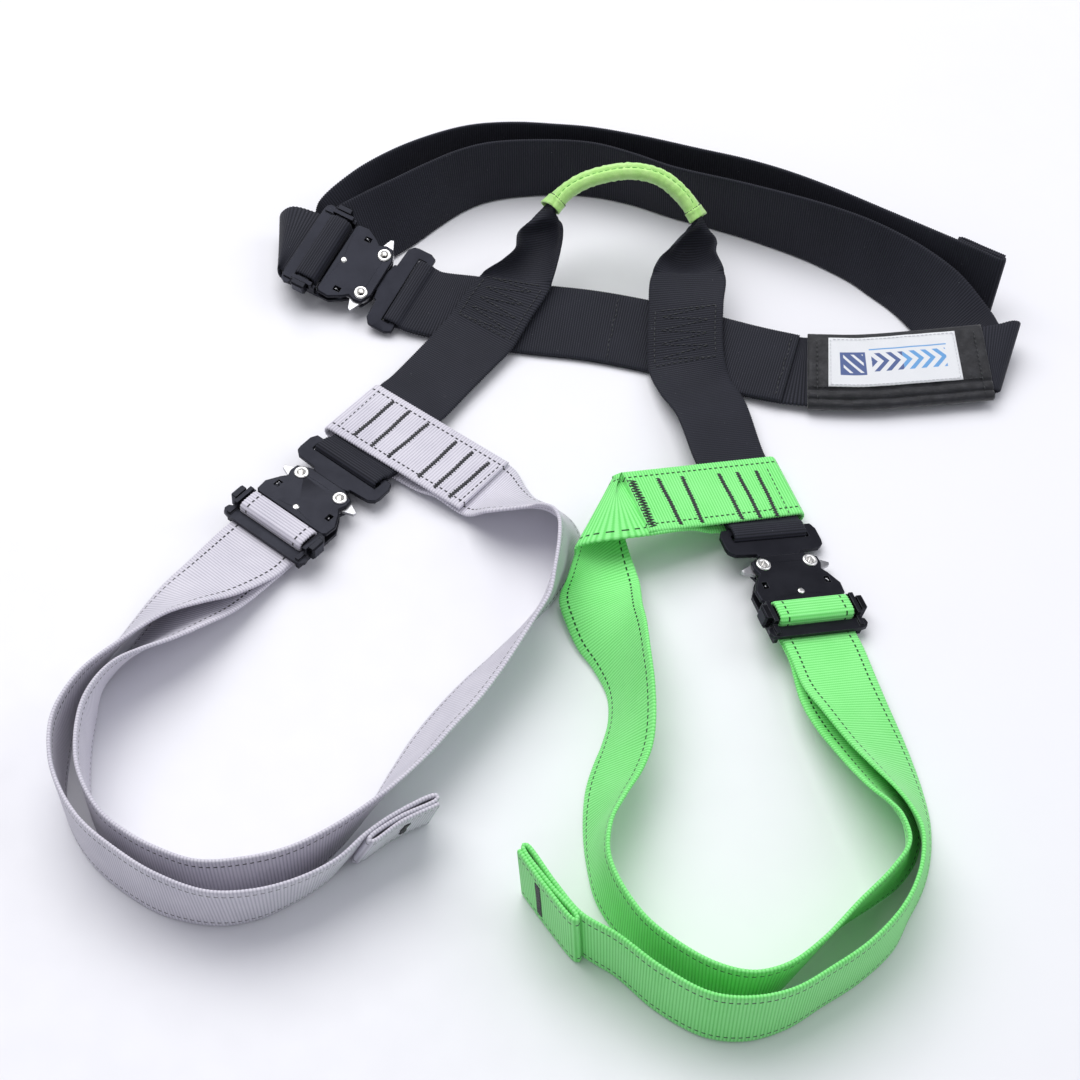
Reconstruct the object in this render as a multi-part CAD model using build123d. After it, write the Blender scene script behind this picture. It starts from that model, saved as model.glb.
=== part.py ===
# Tree climbing saddle laid out flat on the ground: a waist belt, two leg loops that hang from a
# bridge strap by drop straps, and three two-lever quick-connect buckles.
# Millimetres, +Z up, ground at Z = 0, belt front towards +X, leg loops towards -Y.
from build123d import *
from math import acos, ceil, cos, degrees, radians, sin
import os

os.makedirs("parts", exist_ok=True)

# ---- driving dimensions ---------------------------------------------------------------------
WEB = 45.0            # webbing width
THK = 2.2             # webbing thickness
LAYER = THK + 0.2     # pitch of two stacked webbing layers
CROSS_LIFT = 2 * LAYER + 2.2  # drop strap centre above the lower layer of the doubled belt
SPLIT_GAP = 0.5       # parting gap where a strap passes from the fixed run to the moving run
EDGE_CLEAR = 0.6      # height of the lower selvedge of a strap standing on the ground
CENTRE_X = -4.5       # shift of every station that brings the laid-out saddle over the origin
UP = Vector(0, 0, 1)

RIVET_X = 14.5        # lever pivot, to each side of the buckle middle
RIVET_HEAD = 8.6      # tubular rivet head diameter
RIVET_SHANK = 6.0     # tubular rivet barrel diameter
RIVET_PROUD = 0.9     # head height above the top plate
PIN_BORE = 6.1        # lever bore on the rivet barrel
TOP_T = 2.0           # top plate thickness
FRAME_TOP = -5.4      # upper face of the bottom plate
FRAME_T = 2.0         # bottom plate thickness
TONGUE_TOP = -2.3     # upper face of the adaptor plate
TONGUE_T = 2.8        # adaptor plate thickness
LEVER_TOP = -2.4      # upper face of the release levers
LEVER_T = 2.0         # lever thickness
BAR_Y = (31.6, 39.6)  # slide bar front and back edges
BAR_Z = (-2.1, 2.5)   # slide bar bottom and top
RAIL_X = (24.3, 26.8) # side rail inner and outer faces
LIP_Y = (42.8, 49.5)  # strap lip front and back edges

# ---- buckle frames: origin midway between the rivets on the top plate, +y towards the lip -----
def buckle_plane(x, y, z, yaw, pitch, roll):
    """Local frame of a buckle from its place and heading, pitch and roll in degrees."""
    yd = Vector(cos(radians(yaw)) * cos(radians(pitch)),
                sin(radians(yaw)) * cos(radians(pitch)),
                sin(radians(pitch)))
    level = yd.cross(UP).normalized()
    rise = level.cross(yd)
    xd = level * cos(radians(roll)) + rise * sin(radians(roll))
    return Plane(origin=(x + CENTRE_X, y, z), x_dir=xd, z_dir=xd.cross(yd))


BUCKLES = {
    "grey": buckle_plane(-142, 24, 14.5, -128, 1.5, 3),
    "green": buckle_plane(117, -32, 15, -72, 0, 14),
    "waist": buckle_plane(-121, 190.5, 20, 153, 9, 17),
}


# ---- webbing: a knot is (centre, full-width vector) --------------------------------------------
def standing(stations):
    """Knots of a free run from (x, y, lift, lean).

    lift is how far the lower edge is off the ground, lean 0 stands on edge, +90 / -90 lies flat.
    """
    centres = []
    for x, y, lift, lean in stations:
        centres.append(Vector(x + CENTRE_X, y, EDGE_CLEAR + lift + WEB / 2 * cos(radians(lean))))
    knots = []
    for i, (x, y, lift, lean) in enumerate(stations):
        before = centres[max(i - 1, 0)]
        after = centres[min(i + 1, len(centres) - 1)]
        heading = Vector(after.X - before.X, after.Y - before.Y, 0).normalized()
        side = heading.cross(UP)
        knots.append((centres[i], (UP * cos(radians(lean)) + side * sin(radians(lean))) * WEB))
    return knots


def seated(plane, points, width):
    """Knots given in a buckle frame, with one full-width vector for all of them."""
    wide = plane.from_local_coords(Vector(*width)) - plane.origin
    return [(plane.from_local_coords(Vector(*p)), wide) for p in points]


def loose(points):
    """Knots given outright as (x, y, z), (wx, wy, wz)."""
    return [(Vector(CENTRE_X, 0, 0) + Vector(*p), Vector(*w)) for p, w in points]


def sweep(knots, step=10.0, turn=16.0):
    """Centripetal Catmull-Rom curve through the knots, finer where it turns."""
    ends = [(knots[0][0] * 2 - knots[1][0], knots[0][1] * 2 - knots[1][1])]
    tail = [(knots[-1][0] * 2 - knots[-2][0], knots[-1][1] * 2 - knots[-2][1])]
    chain = ends + knots + tail
    sections = [knots[0]]
    for p0, p1, p2, p3 in zip(chain, chain[1:], chain[2:], chain[3:]):
        t1 = max((p1[0] - p0[0]).length, 0.01) ** 0.5
        t2 = t1 + max((p2[0] - p1[0]).length, 0.01) ** 0.5
        t3 = t2 + max((p3[0] - p2[0]).length, 0.01) ** 0.5
        bend = angle(p1[0] - p0[0], p2[0] - p1[0]) + angle(p2[0] - p1[0], p3[0] - p2[0])
        twist = angle(p1[1], p2[1])
        count = max(ceil((p2[0] - p1[0]).length / step), ceil(max(bend / 2, twist) / turn), 1)
        for k in range(1, count + 1):
            t = t1 + (t2 - t1) * k / count
            sections.append(tuple(rom(p0[j], p1[j], p2[j], p3[j], t, t1, t2, t3) for j in (0, 1)))
    return sections


def angle(a, b):
    """Angle between two vectors in degrees."""
    return degrees(acos(max(-1.0, min(1.0, a.normalized().dot(b.normalized())))))


def rom(a, b, c, d, t, t1, t2, t3):
    """One value on the Catmull-Rom span from b to c, with knot times 0, t1, t2, t3."""
    ab = a * ((t1 - t) / t1) + b * (t / t1)
    bc = b * ((t2 - t) / (t2 - t1)) + c * ((t - t1) / (t2 - t1))
    cd = c * ((t3 - t) / (t3 - t2)) + d * ((t - t2) / (t3 - t2))
    abc = ab * ((t2 - t) / t2) + bc * (t / t2)
    bcd = bc * ((t3 - t) / (t3 - t1)) + cd * ((t - t1) / (t3 - t1))
    return abc * ((t2 - t) / (t2 - t1)) + bcd * ((t - t1) / (t2 - t1))


def normals(sections):
    """Face normal of the strap at each section: run direction x width direction."""
    out = []
    for i, (centre, wide) in enumerate(sections):
        run = sections[min(i + 1, len(sections) - 1)][0] - sections[max(i - 1, 0)][0]
        out.append(run.cross(wide).normalized())
    return out


def raised(knots, height):
    """The same run moved along its face normal."""
    return [(c + n * height, w) for (c, w), n in zip(knots, normals(knots))]


def facet(*points):
    """Flat face through the points."""
    return Face(Wire.make_polygon(list(points), close=True))


def band(knots, thick=THK, width=1.0, step=10.0):
    """Closed solid of a strap run; thick may be one value or one per section of the run."""
    sections = sweep(knots, step)
    rings = []
    for (centre, wide), normal in zip(sections, normals(sections)):
        half = wide * (width / 2)
        rise = normal * (thick / 2)
        rings.append([centre - half - rise, centre + half - rise,
                      centre + half + rise, centre - half + rise])
    faces = [facet(*rings[0]), facet(*rings[-1])]
    for near, far in zip(rings, rings[1:]):
        for k in range(4):
            m = (k + 1) % 4
            faces.append(facet(near[k], near[m], far[m]))
            faces.append(facet(near[k], far[m], far[k]))
    return Solid(Shell(faces))


def save(name, shape):
    """Write one node."""
    export_step(shape, "parts/" + name + ".step")


# ---- strap route through a buckle (y, z in the buckle frame) -----------------------------------
IN_FLIGHT = [(60, -7.1), (46, -7.1), (34, -7.1)]
AROUND_BAR = [(31.2, -6.4), (29.3, -4.7), (28.7, -2.0), (28.7, 1.4), (29.6, 3.2), (31.6, 3.9),
              (35, 3.9), (38.6, 3.9), (40.6, 3.2), (41.2, 1.4), (41.2, -1.6), (41.7, -3.6),
              (43.4, -4.6)]
OUT_FLIGHT = [(47, -4.7), (60, -4.7)]
SLIDE_ROUTE = IN_FLIGHT + AROUND_BAR + OUT_FLIGHT


def buckle_run(plane, width):
    """The strap from the lip round the slide bar and back out under the lip."""
    return seated(plane, [(0, y, z) for y, z in SLIDE_ROUTE], width)


def adaptor_bight(plane, width, x=0.0, shear=0.0):
    """Strap end from the upper keeper layer round the adaptor bar to the lower layer."""
    upper = [(-44, -2.5), (-36, -2.5), (-33.4, -2.5), (-31.8, -2.4), (-30.4, -1.7), (-29.2, -1.0),
             (-25.6, -0.8), (-23.3, -1.6)]
    lower = [(y, -7.4 - z) for y, z in reversed(upper)]
    route = upper + [(-22.6, -3.7)] + lower
    return seated(plane, [(x - shear * (y + 24), y, z) for y, z in route], width)


# ---- buckle hardware, all in the buckle frame ---------------------------------------------------
def prism(points, low, high):
    """Upright plate from a closed outline."""
    return extrude(make_face(Polyline(*points, close=True)), high - low).moved(Location((0, 0, low)))


def mirrored(half):
    """Closed outline from its right half, listed from front to back."""
    return half + [(-x, y) for x, y in reversed(half)]


def slot_box(x0, x1, y0, y1, z0, z1):
    """Box from its six faces."""
    return Pos((x0 + x1) / 2, (y0 + y1) / 2, (z0 + z1) / 2) * Box(x1 - x0, y1 - y0, z1 - z0)


def post(x, y, z0, z1, diameter):
    """Upright round pin or bore."""
    return Pos(x, y, (z0 + z1) / 2) * Cylinder(diameter / 2, z1 - z0)


PLATE_HALF = [(13, -6.5), (20.5, -3), (21, 2), (19.5, 6), (22, 9), (26.5, 17), (26, 24), (24, 26)]


def top_plate():
    """Cover plate with bevelled rim, rivet holes and two spring windows."""
    plate = prism(mirrored(PLATE_HALF), -TOP_T, 0)
    plate = chamfer(plate.faces().sort_by(Axis.Z)[-1].edges(), 0.7)
    for side in (-1, 1):
        plate -= post(side * RIVET_X, 0, -TOP_T - 1, 1, RIVET_SHANK)
        plate -= slot_box(*sorted((side * 17.6, side * 20.8)), 12, 16.5, -TOP_T - 1, 1)
    plate -= post(0, 20.5, -TOP_T - 1, 1, 3.3)
    return plate


def bottom_frame():
    """Bottom plate, side rails with the slide-bar slots, and the lip the straps leave under."""
    low = FRAME_TOP - FRAME_T
    half = [(13, -6.5), (20.5, -3), (21, 2), (19.5, 6), (22, 9), (26.8, 17), (26.8, 30), (24.3, 30),
            (24.3, 27), (23, 26)]
    frame = prism(mirrored(half), low, FRAME_TOP)
    inner, outer = RAIL_X
    for side in (-1, 1):
        x0, x1 = sorted((side * inner, side * outer))
        rail = slot_box(x0, x1, 26.6, LIP_Y[1] - 1.5, low, 1.0)
        rail += slot_box(x0, x1, 28.2, 42.0, -2.8, 4.2)
        rail -= slot_box(x0 - 1, x1 + 1, 30.0, 40.0, -2.5, 2.9)
        frame += rail
        frame -= post(side * RIVET_X, 0, low - 1, FRAME_TOP + 1, RIVET_SHANK)
    frame -= post(0, 20.5, low - 1, FRAME_TOP + 1, 3.3)
    lip_half = [(20, LIP_Y[0]), (27, LIP_Y[0] - 0.8), (29.5, LIP_Y[0] + 0.6), (30, LIP_Y[0] + 3.4),
                (28.4, LIP_Y[1] - 0.8), (25, LIP_Y[1])]
    lip = prism(mirrored(lip_half), -2.8, -0.4)
    return frame + lip


def tubular_rivet(side):
    """Rolled rivet through both plates with an open barrel."""
    low = FRAME_TOP - FRAME_T
    rivet = post(side * RIVET_X, 0, low, 0, RIVET_SHANK)
    rivet += post(side * RIVET_X, 0, 0, RIVET_PROUD, RIVET_HEAD)
    rivet += post(side * RIVET_X, 0, low - 0.7, low, RIVET_HEAD)
    rivet -= post(side * RIVET_X, 0, -3.0, RIVET_PROUD + 1, 4.0)
    return rivet


def centre_rivet():
    """Small solid rivet with a spacer collar between the plates."""
    low = FRAME_TOP - FRAME_T
    return (post(0, 20.5, low - 0.3, 0.5, 3.2) + post(0, 20.5, FRAME_TOP, -TOP_T, 5.6)
            + post(0, 20.5, 0, 0.5, 4.0))


def lever(side):
    """Release lever: ring on the rivet, pawl arm beside the tongue, triangular tab outside."""
    arm = [(9.3, -4.3), (9.4, 3.2), (12, 5.8), (16, 5.4), (20.4, 4.8), (26.6, 2.4), (27.2, 0.6),
           (21.4, -2.2), (17.6, -3.4), (13, -4.6)]
    body = prism([(side * x, y) for x, y in arm], LEVER_TOP - LEVER_T, LEVER_TOP)
    body += post(side * RIVET_X, 0, LEVER_TOP - LEVER_T, LEVER_TOP, 11.0)
    return body - post(side * RIVET_X, 0, -10, 2, PIN_BORE)


def lever_spring(side):
    """Flat ring spring under the lever with a bent end that shows in the plate window."""
    ring = post(side * RIVET_X, 0, -5.3, -4.6, 8.6) - post(side * RIVET_X, 0, -6, -4, 6.4)
    leg = slot_box(*sorted((side * 18.4, side * 19.2)), 0, 14, -5.3, -4.6)
    end = slot_box(*sorted((side * 18.4, side * 19.2)), 13.3, 14, -5.3, -1.0)
    link = slot_box(*sorted((side * 18.0, side * 19.2)), 0, 0.8, -5.3, -4.6)
    return ring + leg + end + link


def slide_bar():
    """Bar across the rails with square end blocks that keep it in its slots."""
    bar = slot_box(-27.4, 27.4, *BAR_Y, *BAR_Z)
    for side in (-1, 1):
        x0, x1 = sorted((side * 27.2, side * 31.2))
        block = slot_box(x0, x1, 31.2, 40.2, -3.8, 5.0)
        bar += chamfer(block.faces().sort_by(Axis.X)[-1 if side > 0 else 0].edges(), 0.9)
    return bar


def adaptor_plate():
    """Fixed half: tongue between the levers and a slotted shoulder for the strap."""
    half = [(6.4, 14.0), (7.5, 12.6), (7.5, -6.8), (13, -8), (13.4, -9.6), (26, -10.4), (29.4, -13),
            (30, -16), (30, -24.6), (28, -28.6)]
    low = TONGUE_TOP - TONGUE_T
    plate = prism(mirrored(half), low, TONGUE_TOP)
    plate -= slot_box(-23.6, 23.6, -24.6, -19.4, -10, 2)
    plate -= slot_box(-3.2, 3.2, 1.0, 9.0, -10, 2)
    return plate


for name, plane in BUCKLES.items():
    seat = plane.location
    save(name + "_adaptor_plate", seat * adaptor_plate())
    save(name + "_top_plate", seat * top_plate())
    save(name + "_bottom_frame", seat * bottom_frame())
    save(name + "_pivot_rivets", Compound(children=[seat * tubular_rivet(k) for k in (-1, 1)]))
    save(name + "_centre_rivet", seat * centre_rivet())
    save(name + "_lever_a", seat * lever(1))
    save(name + "_lever_b", seat * lever(-1))
    save(name + "_lever_springs", Compound(children=[seat * lever_spring(k) for k in (-1, 1)]))
    save(name + "_slide_bar", seat * slide_bar())


# ---- keepers: leg strap doubled over the drop strap ends ----------------------------------------
KEEPER_TOP = -0.2     # centre height of the upper leg strap layer
KEEPER_LOW = -7.3     # centre height of the lower leg strap layer under the drop strap
KEEPER_MEET = -2.8    # centre height of the lower layer where the two leg strap layers meet


def keeper_run(plane, end_x, bight_x, rise_x, exit_x, y_end, y_exit, width):
    """Leg strap from its sewn end over the drop strap, round the bight and out underneath."""
    way = 1 if bight_x > end_x else -1

    def across(x):
        return y_end + (y_exit - y_end) * (x - bight_x) / (exit_x - bight_x)

    route = [(end_x, KEEPER_TOP), ((end_x + bight_x) / 2, KEEPER_TOP), (bight_x - way * 9, KEEPER_TOP),
             (bight_x - way * 3, KEEPER_TOP), (bight_x - way * 0.9, KEEPER_TOP - 1),
             (bight_x, KEEPER_TOP - 2.8), (bight_x, KEEPER_LOW + 2.8),
             (bight_x - way * 0.9, KEEPER_LOW + 1), (bight_x - way * 3, KEEPER_LOW),
             (bight_x - way * 9, KEEPER_LOW), (rise_x, KEEPER_LOW),
             (rise_x - way * 14, KEEPER_MEET), (exit_x, KEEPER_MEET)]
    return seated(plane, [(x, across(x), z) for x, z in route], width)


def split_run(knots, k):
    """Part a run just after knot k: the fixed piece and the moving piece."""
    centre, wide = knots[k]
    start = centre + (knots[k + 1][0] - centre).normalized() * SPLIT_GAP
    return knots[:k + 1], [(start, wide)] + knots[k + 1:]


def on_belt(belt, places):
    """Knots of a strap lying flat across the doubled belt, from (x, y, wx, wy) in plan."""
    under = sweep(belt)
    faces = normals(under)
    knots = []
    for plan_x, y, wx, wy in places:
        x = plan_x + CENTRE_X
        k = min(range(len(under)), key=lambda i: abs(under[i][0].X - x))
        centre, up = under[k][0], faces[k]
        z = centre.Z + (CROSS_LIFT - (x - centre.X) * up.X - (y - centre.Y) * up.Y) / up.Z
        knots.append((Vector(x, y, z), Vector(wx, wy, -(wx * up.X + wy * up.Y) / up.Z)))
    return knots


def rolled_end(run, side):
    """Strap end folded back and forth into three layers."""
    second = raised(run, side * LAYER)
    third = raised(run, side * 2 * LAYER)
    ahead = (run[-1][0] - run[-2][0]).normalized() * (LAYER / 2)
    turn_out = ((run[-1][0] + second[-1][0]) / 2 + ahead, run[-1][1])
    turn_in = ((second[0][0] + third[0][0]) / 2 - ahead, run[0][1])
    return run + [turn_out] + second[::-1] + [turn_in] + third


def between(run, a, b):
    """The stretch of a two-knot run between two fractions of its length."""
    (c0, w0), (c1, w1) = run
    return [(c0 + (c1 - c0) * f, w0 + (w1 - w0) * f) for f in (a, b)]


def patch(knots, height, thick=0.5, width=0.8):
    """Thin stitched area riding on the face of a strap run."""
    return band(raised(knots, height), thick=thick, width=width)


# grey leg strap, clockwise from the keeper to the buckle
GREY_LEG = [(-37, 14, 3, 64), (-28, 8, 2, 50), (-18, 5, 1, 42), (-9, -1, 0, 34), (-3, -13, 0, 22),
            (-3.5, -25, 0, 11), (-7, -40, 0, 2), (-13, -56, 0, -9), (-19, -69, 0, -20),
            (-28, -82, 0, -26), (-37, -95, 0, -31), (-48, -110, 0, -37), (-60, -127, 0, -40),
            (-73, -146, 0, -38), (-83, -163, 0, -34), (-101, -191, 0, -22), (-121, -213, 0, -12),
            (-139, -226, 0, -6), (-159, -233, 0, -2), (-180, -235, 0, 0), (-198, -229, 0, 0),
            (-216, -219, 0, 0), (-231, -206, 0, 0), (-245, -180, 0, 0), (-249, -148, 0, 3),
            (-247, -130, 0, 10), (-243, -113, 0, 23), (-234, -99, 0, 34), (-222, -85, 1, 48),
            (-210, -68, 3, 64), (-199, -52, 5, 78)]
GREY_SPLIT = 9
GREY_TAIL = [(-196, -43, 10, -76), (-211, -57, 7, -60), (-226, -73, 3, -43), (-243, -97, 0, -28),
             (-256, -124, 0, -12), (-261, -151, 0, 0), (-259, -175, 0, 0), (-252, -193, 0, 0),
             (-239, -212, 0, 0), (-219, -229, 0, 0), (-199, -241, 0, 2), (-174, -248, 0, 8),
             (-154, -246, 0, 12), (-135, -238, 0, 17), (-119, -227, 0, 20)]
GREY_END = [(-106, -213, 1.8, 22), (-91, -201, 2, 22), (-73, -191, 2, 22)]

# green leg strap, anticlockwise from the keeper to the buckle
GREEN_FOLD = [((19.5, -6, 31), (16, 45, 6)), ((12.5, -7.5, 27.5), (21, 46, 3)),
              ((13, -11, 21.5), (24, 43, -1)), ((13, -29, 14), (33, 30, -4))]
GREEN_LEG = [(14, -49, 6, -76), (16, -62, 4, -65), (19, -76, 2, -52), (24, -91, 1, -38),
             (28, -109, 0, -28), (29, -127, 0, -29), (27, -145, 0, -36), (24, -158, 0, -41),
             (19, -174, 0, -39), (14, -193, 0, -27), (11, -212, 0, -14), (13, -234, 0, -6),
             (29, -262, 0, 0), (49, -279, 0, 3), (66, -288, 0, 4), (80, -290, 0, 6),
             (94, -285, 0, 9), (110, -271, 0, 13), (128, -252, 0, 13), (147, -236, 0, 7),
             (158, -224, 0, 0), (162, -210, 0, -15), (162, -198, 0, -28), (159, -185, 1, -42),
             (155, -168, 2, -56), (149, -150, 3, -66), (143, -133, 3, -73), (138, -117, 3, -76)]
GREEN_SPLIT = 3
GREEN_TAIL = [(139, -110, 6, 74), (145, -128, 5, 65), (154, -152, 3, 54), (162, -173, 1, 41),
              (167, -189, 0, 30), (169, -203, 0, 20), (169, -216, 0, 11), (166, -229, 0, 5),
              (160, -243, 0, 0), (151, -259, 0, 0), (134, -276, 0, -2), (115, -289, 0, -3),
              (97, -300, 0, -2), (78, -305, 0, 0), (59, -303, 0, 0), (37, -290, 0, 0),
              (18, -273, 0, -2)]
GREEN_END = [(2, -262, 0, -3), (-10, -246, 0, -3), (-23, -226, 0, -3)]

# waist belt: doubled front, fold under at the hip, back band, fold under again beside the buckle
FRONT_DOUBLE = [(-60, 169, 0, -68), (-30, 162, 0, -66), (14, 155, 0, -66), (48, 146, 0, -66),
                (78, 136, 0, -66), (108, 124, 2, -68), (131, 116.5, 4, -71)]
FRONT_SINGLE = [(142, 114.5, 5, -72), (172, 113, 6, -72), (208, 116, 6.5, -72), (234, 119, 6.5, -71)]
HIP_FOLD = [((250, 122, 16), (8, 42, 14)), ((259, 125, 16), (14, 43, 15)),
            ((262.5, 126.5, 13), (16, 43, 15)), ((259, 127, 9.8), (17, 42, 14)),
            ((250, 131, 9), (22, 38, 13))]
BACK_BAND = [(238, 147, 2, 69), (224, 168, 1, 48), (208, 186, 0, 33), (193, 199, 0, 25),
             (180, 209, 0, 17), (166, 218, 0, 12), (150, 227, 0, 7), (111, 245, 0, 0),
             (65, 263, 0, -4), (41, 275, 0, -3), (15, 284, 0, 0), (-18, 286, 0, 2),
             (-50, 282, 0, 6), (-68, 274, 0, 10), (-86, 261, 0, 17), (-104, 247, 0, 28),
             (-122, 235, 1, 42), (-141, 226, 4, 64)]
BACK_SPLIT = 5
LEFT_FOLD_IN = [((-158, 222, 9), (-9, 43, 6)), ((-169, 220.5, 8.6), (-2, 49, 5)),
                ((-175.5, 219.5, 14.5), (-3, 50, 5)), ((-172.5, 217.5, 20.8), (8, 46, 9))]
LEFT_FOLD_OUT = [((-176, 220, 24), (6, 46, 8)), ((-180.5, 221.5, 15), (-3, 50, 5)),
                 ((-171, 222.5, 5.2), (-1, 49, 4)), ((-157, 227, 4.6), (-12, 43, 5))]
BELT_TAIL = [(-143, 238, 2, -58), (-129, 254, 0, -30), (-112, 272, 0, -12), (-90, 290, 0, 0),
             (-63, 301, 0, 0), (-35, 304, 0, 0), (-8, 302, 0, 0), (15, 299, 0, 0), (48, 290, 0, 0),
             (80, 279, 0, 0), (112, 268, 0, 0), (136, 256, 0, -3), (162, 239, 0, -9),
             (193, 217, 0, -15), (220, 199, 0, -14)]
BELT_END = [(234, 190, 0, -12), (246, 182, 0, -11), (258, 174, 0, -10)]

# bridge: left drop strap, up over the belt, through the sleeve and down to the right drop strap
LEFT_DROP = [((-90, 98, 8.5), (35, -28, -2)), ((-79, 115, 7.5), (37, -26, -1)),
             ((-64, 136, 8.5), (38, -24, -3))]
LEFT_CROSS = [(-54, 150, 38, -24), (-43, 166, 40, -19), (-33, 179, 43, -10)]
LEFT_LEG = [((-25, 191, 31), (42, 2, 2)), ((-20, 199, 36), (32, 4, 4)),
            ((-17, 207, 43), (24, 0, 6))]
SLEEVE_RUN = [((-12, 215, 52), (5, -13, 10)), ((-2, 221.5, 59), (0, -14, 11.5)),
              ((11, 226, 65), (0, -14, 11.5)), ((37, 229, 69), (0, -14, 11.5)),
              ((56, 226.5, 65.5), (0, -14, 11.5)), ((70, 219, 56.5), (0, -14, 11.5)),
              ((79, 211, 47), (-4, -14, 11))]
RIGHT_LEG = [((78, 204, 39), (-22, -9, 7)), ((75, 193, 32), (-36, -3, 2)),
             ((72, 178, 30), (-45, -1, 0))]
RIGHT_CROSS = [(70, 157, -45, 0), (69, 140, -45, 0), (69.5, 123, -45, -3)]
RIGHT_DROP = [((74, 106, 9), (-43, -11, 1)), ((82, 87, 11), (-42, -14, 6))]

grey, green, waist = BUCKLES["grey"], BUCKLES["green"], BUCKLES["waist"]

# grey leg
grey_keeper = keeper_run(grey, -70, 27.5, -38, -74, -57, -60.5, (0, WEB, 0))
grey_fixed, grey_moving = split_run(standing(GREY_LEG), GREY_SPLIT)
grey_inner = buckle_run(grey, (-WEB, 0, 0))
grey_tail = standing(GREY_TAIL + GREY_END)
grey_stop = rolled_end(grey_tail[-3:], 1)
save("grey_leg_anchor", band(grey_keeper + grey_fixed))
save("grey_leg_loop", band(grey_moving + grey_inner + grey_tail[:-3] + grey_stop))

# green leg
green_keeper = keeper_run(green, 72, -26.5, 30, 77, -56.5, -52.5, (0, -WEB, 0))
green_fixed, green_moving = split_run(standing(GREEN_LEG), GREEN_SPLIT)
green_inner = buckle_run(green, (WEB, 0, 0))
green_tail = standing(GREEN_TAIL + GREEN_END)
green_stop = rolled_end(green_tail[-3:], -1)
save("green_leg_anchor", band(green_keeper + loose(GREEN_FOLD) + green_fixed))
save("green_leg_loop", band(green_moving + green_inner + green_tail[:-3] + green_stop))

# waist belt
front_double = standing(FRONT_DOUBLE)
front_single = standing(FRONT_SINGLE)
front_top = raised(front_double, LAYER)[::-1]
belt_fixed, belt_moving = split_run(standing(BACK_BAND), BACK_SPLIT)
belt_inner = seated(waist, [(0, 52, -7.1)], (WEB, 0, 0)) + buckle_run(waist, (WEB, 0, 0))[1:-1]
belt_inner += seated(waist, [(0, 52, -4.7)], (WEB, 0, 0))
belt_tail = standing(BELT_TAIL + BELT_END)
belt_stop = rolled_end(belt_tail[-3:], -1)
waist_bight = adaptor_bight(waist, (WEB, 0, 0))[1:-1]
save("waist_belt_front", band(front_top + waist_bight + front_double + front_single
                              + loose(HIP_FOLD) + belt_fixed))
save("waist_belt_back", band(belt_moving + loose(LEFT_FOLD_IN) + belt_inner + loose(LEFT_FOLD_OUT)
                             + belt_tail[:-3] + belt_stop))

# bridge strap with both drop straps
grey_bight = adaptor_bight(grey, (-WEB, 0, 0), shear=-0.14)
green_bight = adaptor_bight(green, (WEB, 0, 0))
grey_hem = seated(grey, [(-7, -74, -4.9)], (-WEB, 0, 0))
grey_entry = seated(grey, [(-5, -60, -2.5), (-8, -80, -2.5), (-9, -86, -2.5)], (-WEB, 0, 0))
green_entry = seated(green, [(0, -84, -2.5), (0, -64, -2.5)], (WEB, 0, 0))
green_hem = seated(green, [(0, -72, -4.9)], (WEB, 0, 0))
cross_left = on_belt(front_double, LEFT_CROSS)
cross_right = on_belt(front_double, RIGHT_CROSS)
sleeve_run = loose(SLEEVE_RUN)
save("bridge_strap", band(grey_hem + grey_bight[::-1] + grey_entry + loose(LEFT_DROP) + cross_left
                          + loose(LEFT_LEG) + sleeve_run + loose(RIGHT_LEG) + cross_right
                          + loose(RIGHT_DROP) + green_entry + green_bight + green_hem))
save("bridge_sleeve", band(sleeve_run, 7.5, 1.26) - band(raised(sleeve_run, 0), 4.6, 1.12))

# label sleeve round the belt and the woven label on it
label_run = standing([(141, 114.6, 5, -72), (172, 113, 6, -72), (208, 116, 6.5, -72), (248, 120.6, 6.5, -71)])
save("label_sleeve", band(label_run, 7.6, 1.09) - band(label_run, 4.8, 1.04))
save("woven_label", band(raised(standing([(153, 114, 5.4, -72), (172, 113, 6, -72), (208, 116, 6.5, -72),
                                          (231, 118.4, 6.5, -71.6)]), 4.2), 0.6, 0.72))

# sewn areas
def bars(plane, xs, y0, y1, wide):
    """Bartacks across a keeper."""
    top = KEEPER_TOP + THK / 2
    return Compound(children=[
        plane.location * slot_box(x - wide / 2, x + wide / 2, y0, y1, top + 0.05, top + 0.55)
        for x in xs])


save("grey_bartacks", bars(grey, (10, -2.5, -16, -38, -50, -61.5), -75, -40, 2.4))
save("green_bartacks", bars(green, (68.5, 52, 38, 14, 2.5, -9), -68, -33, 2.4))
stitch_h = THK / 2 + 0.35
save("bridge_box_stitching", Compound(children=[
    patch(cross_left, -stitch_h - 0.5), patch(cross_right, -stitch_h - 0.5)]))
stop_h = 2 * LAYER + stitch_h + 0.2
save("grey_tail_bartack", patch(between(grey_tail[-2:], 0.1, 0.35), stop_h, width=0.5))
save("green_tail_bartack", patch(between(green_tail[-2:], 0.15, 0.4), -stop_h, width=0.62))
save("waist_tail_bartack", patch(between(belt_tail[-2:], 0.3, 0.55), -stop_h, width=0.6))
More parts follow.
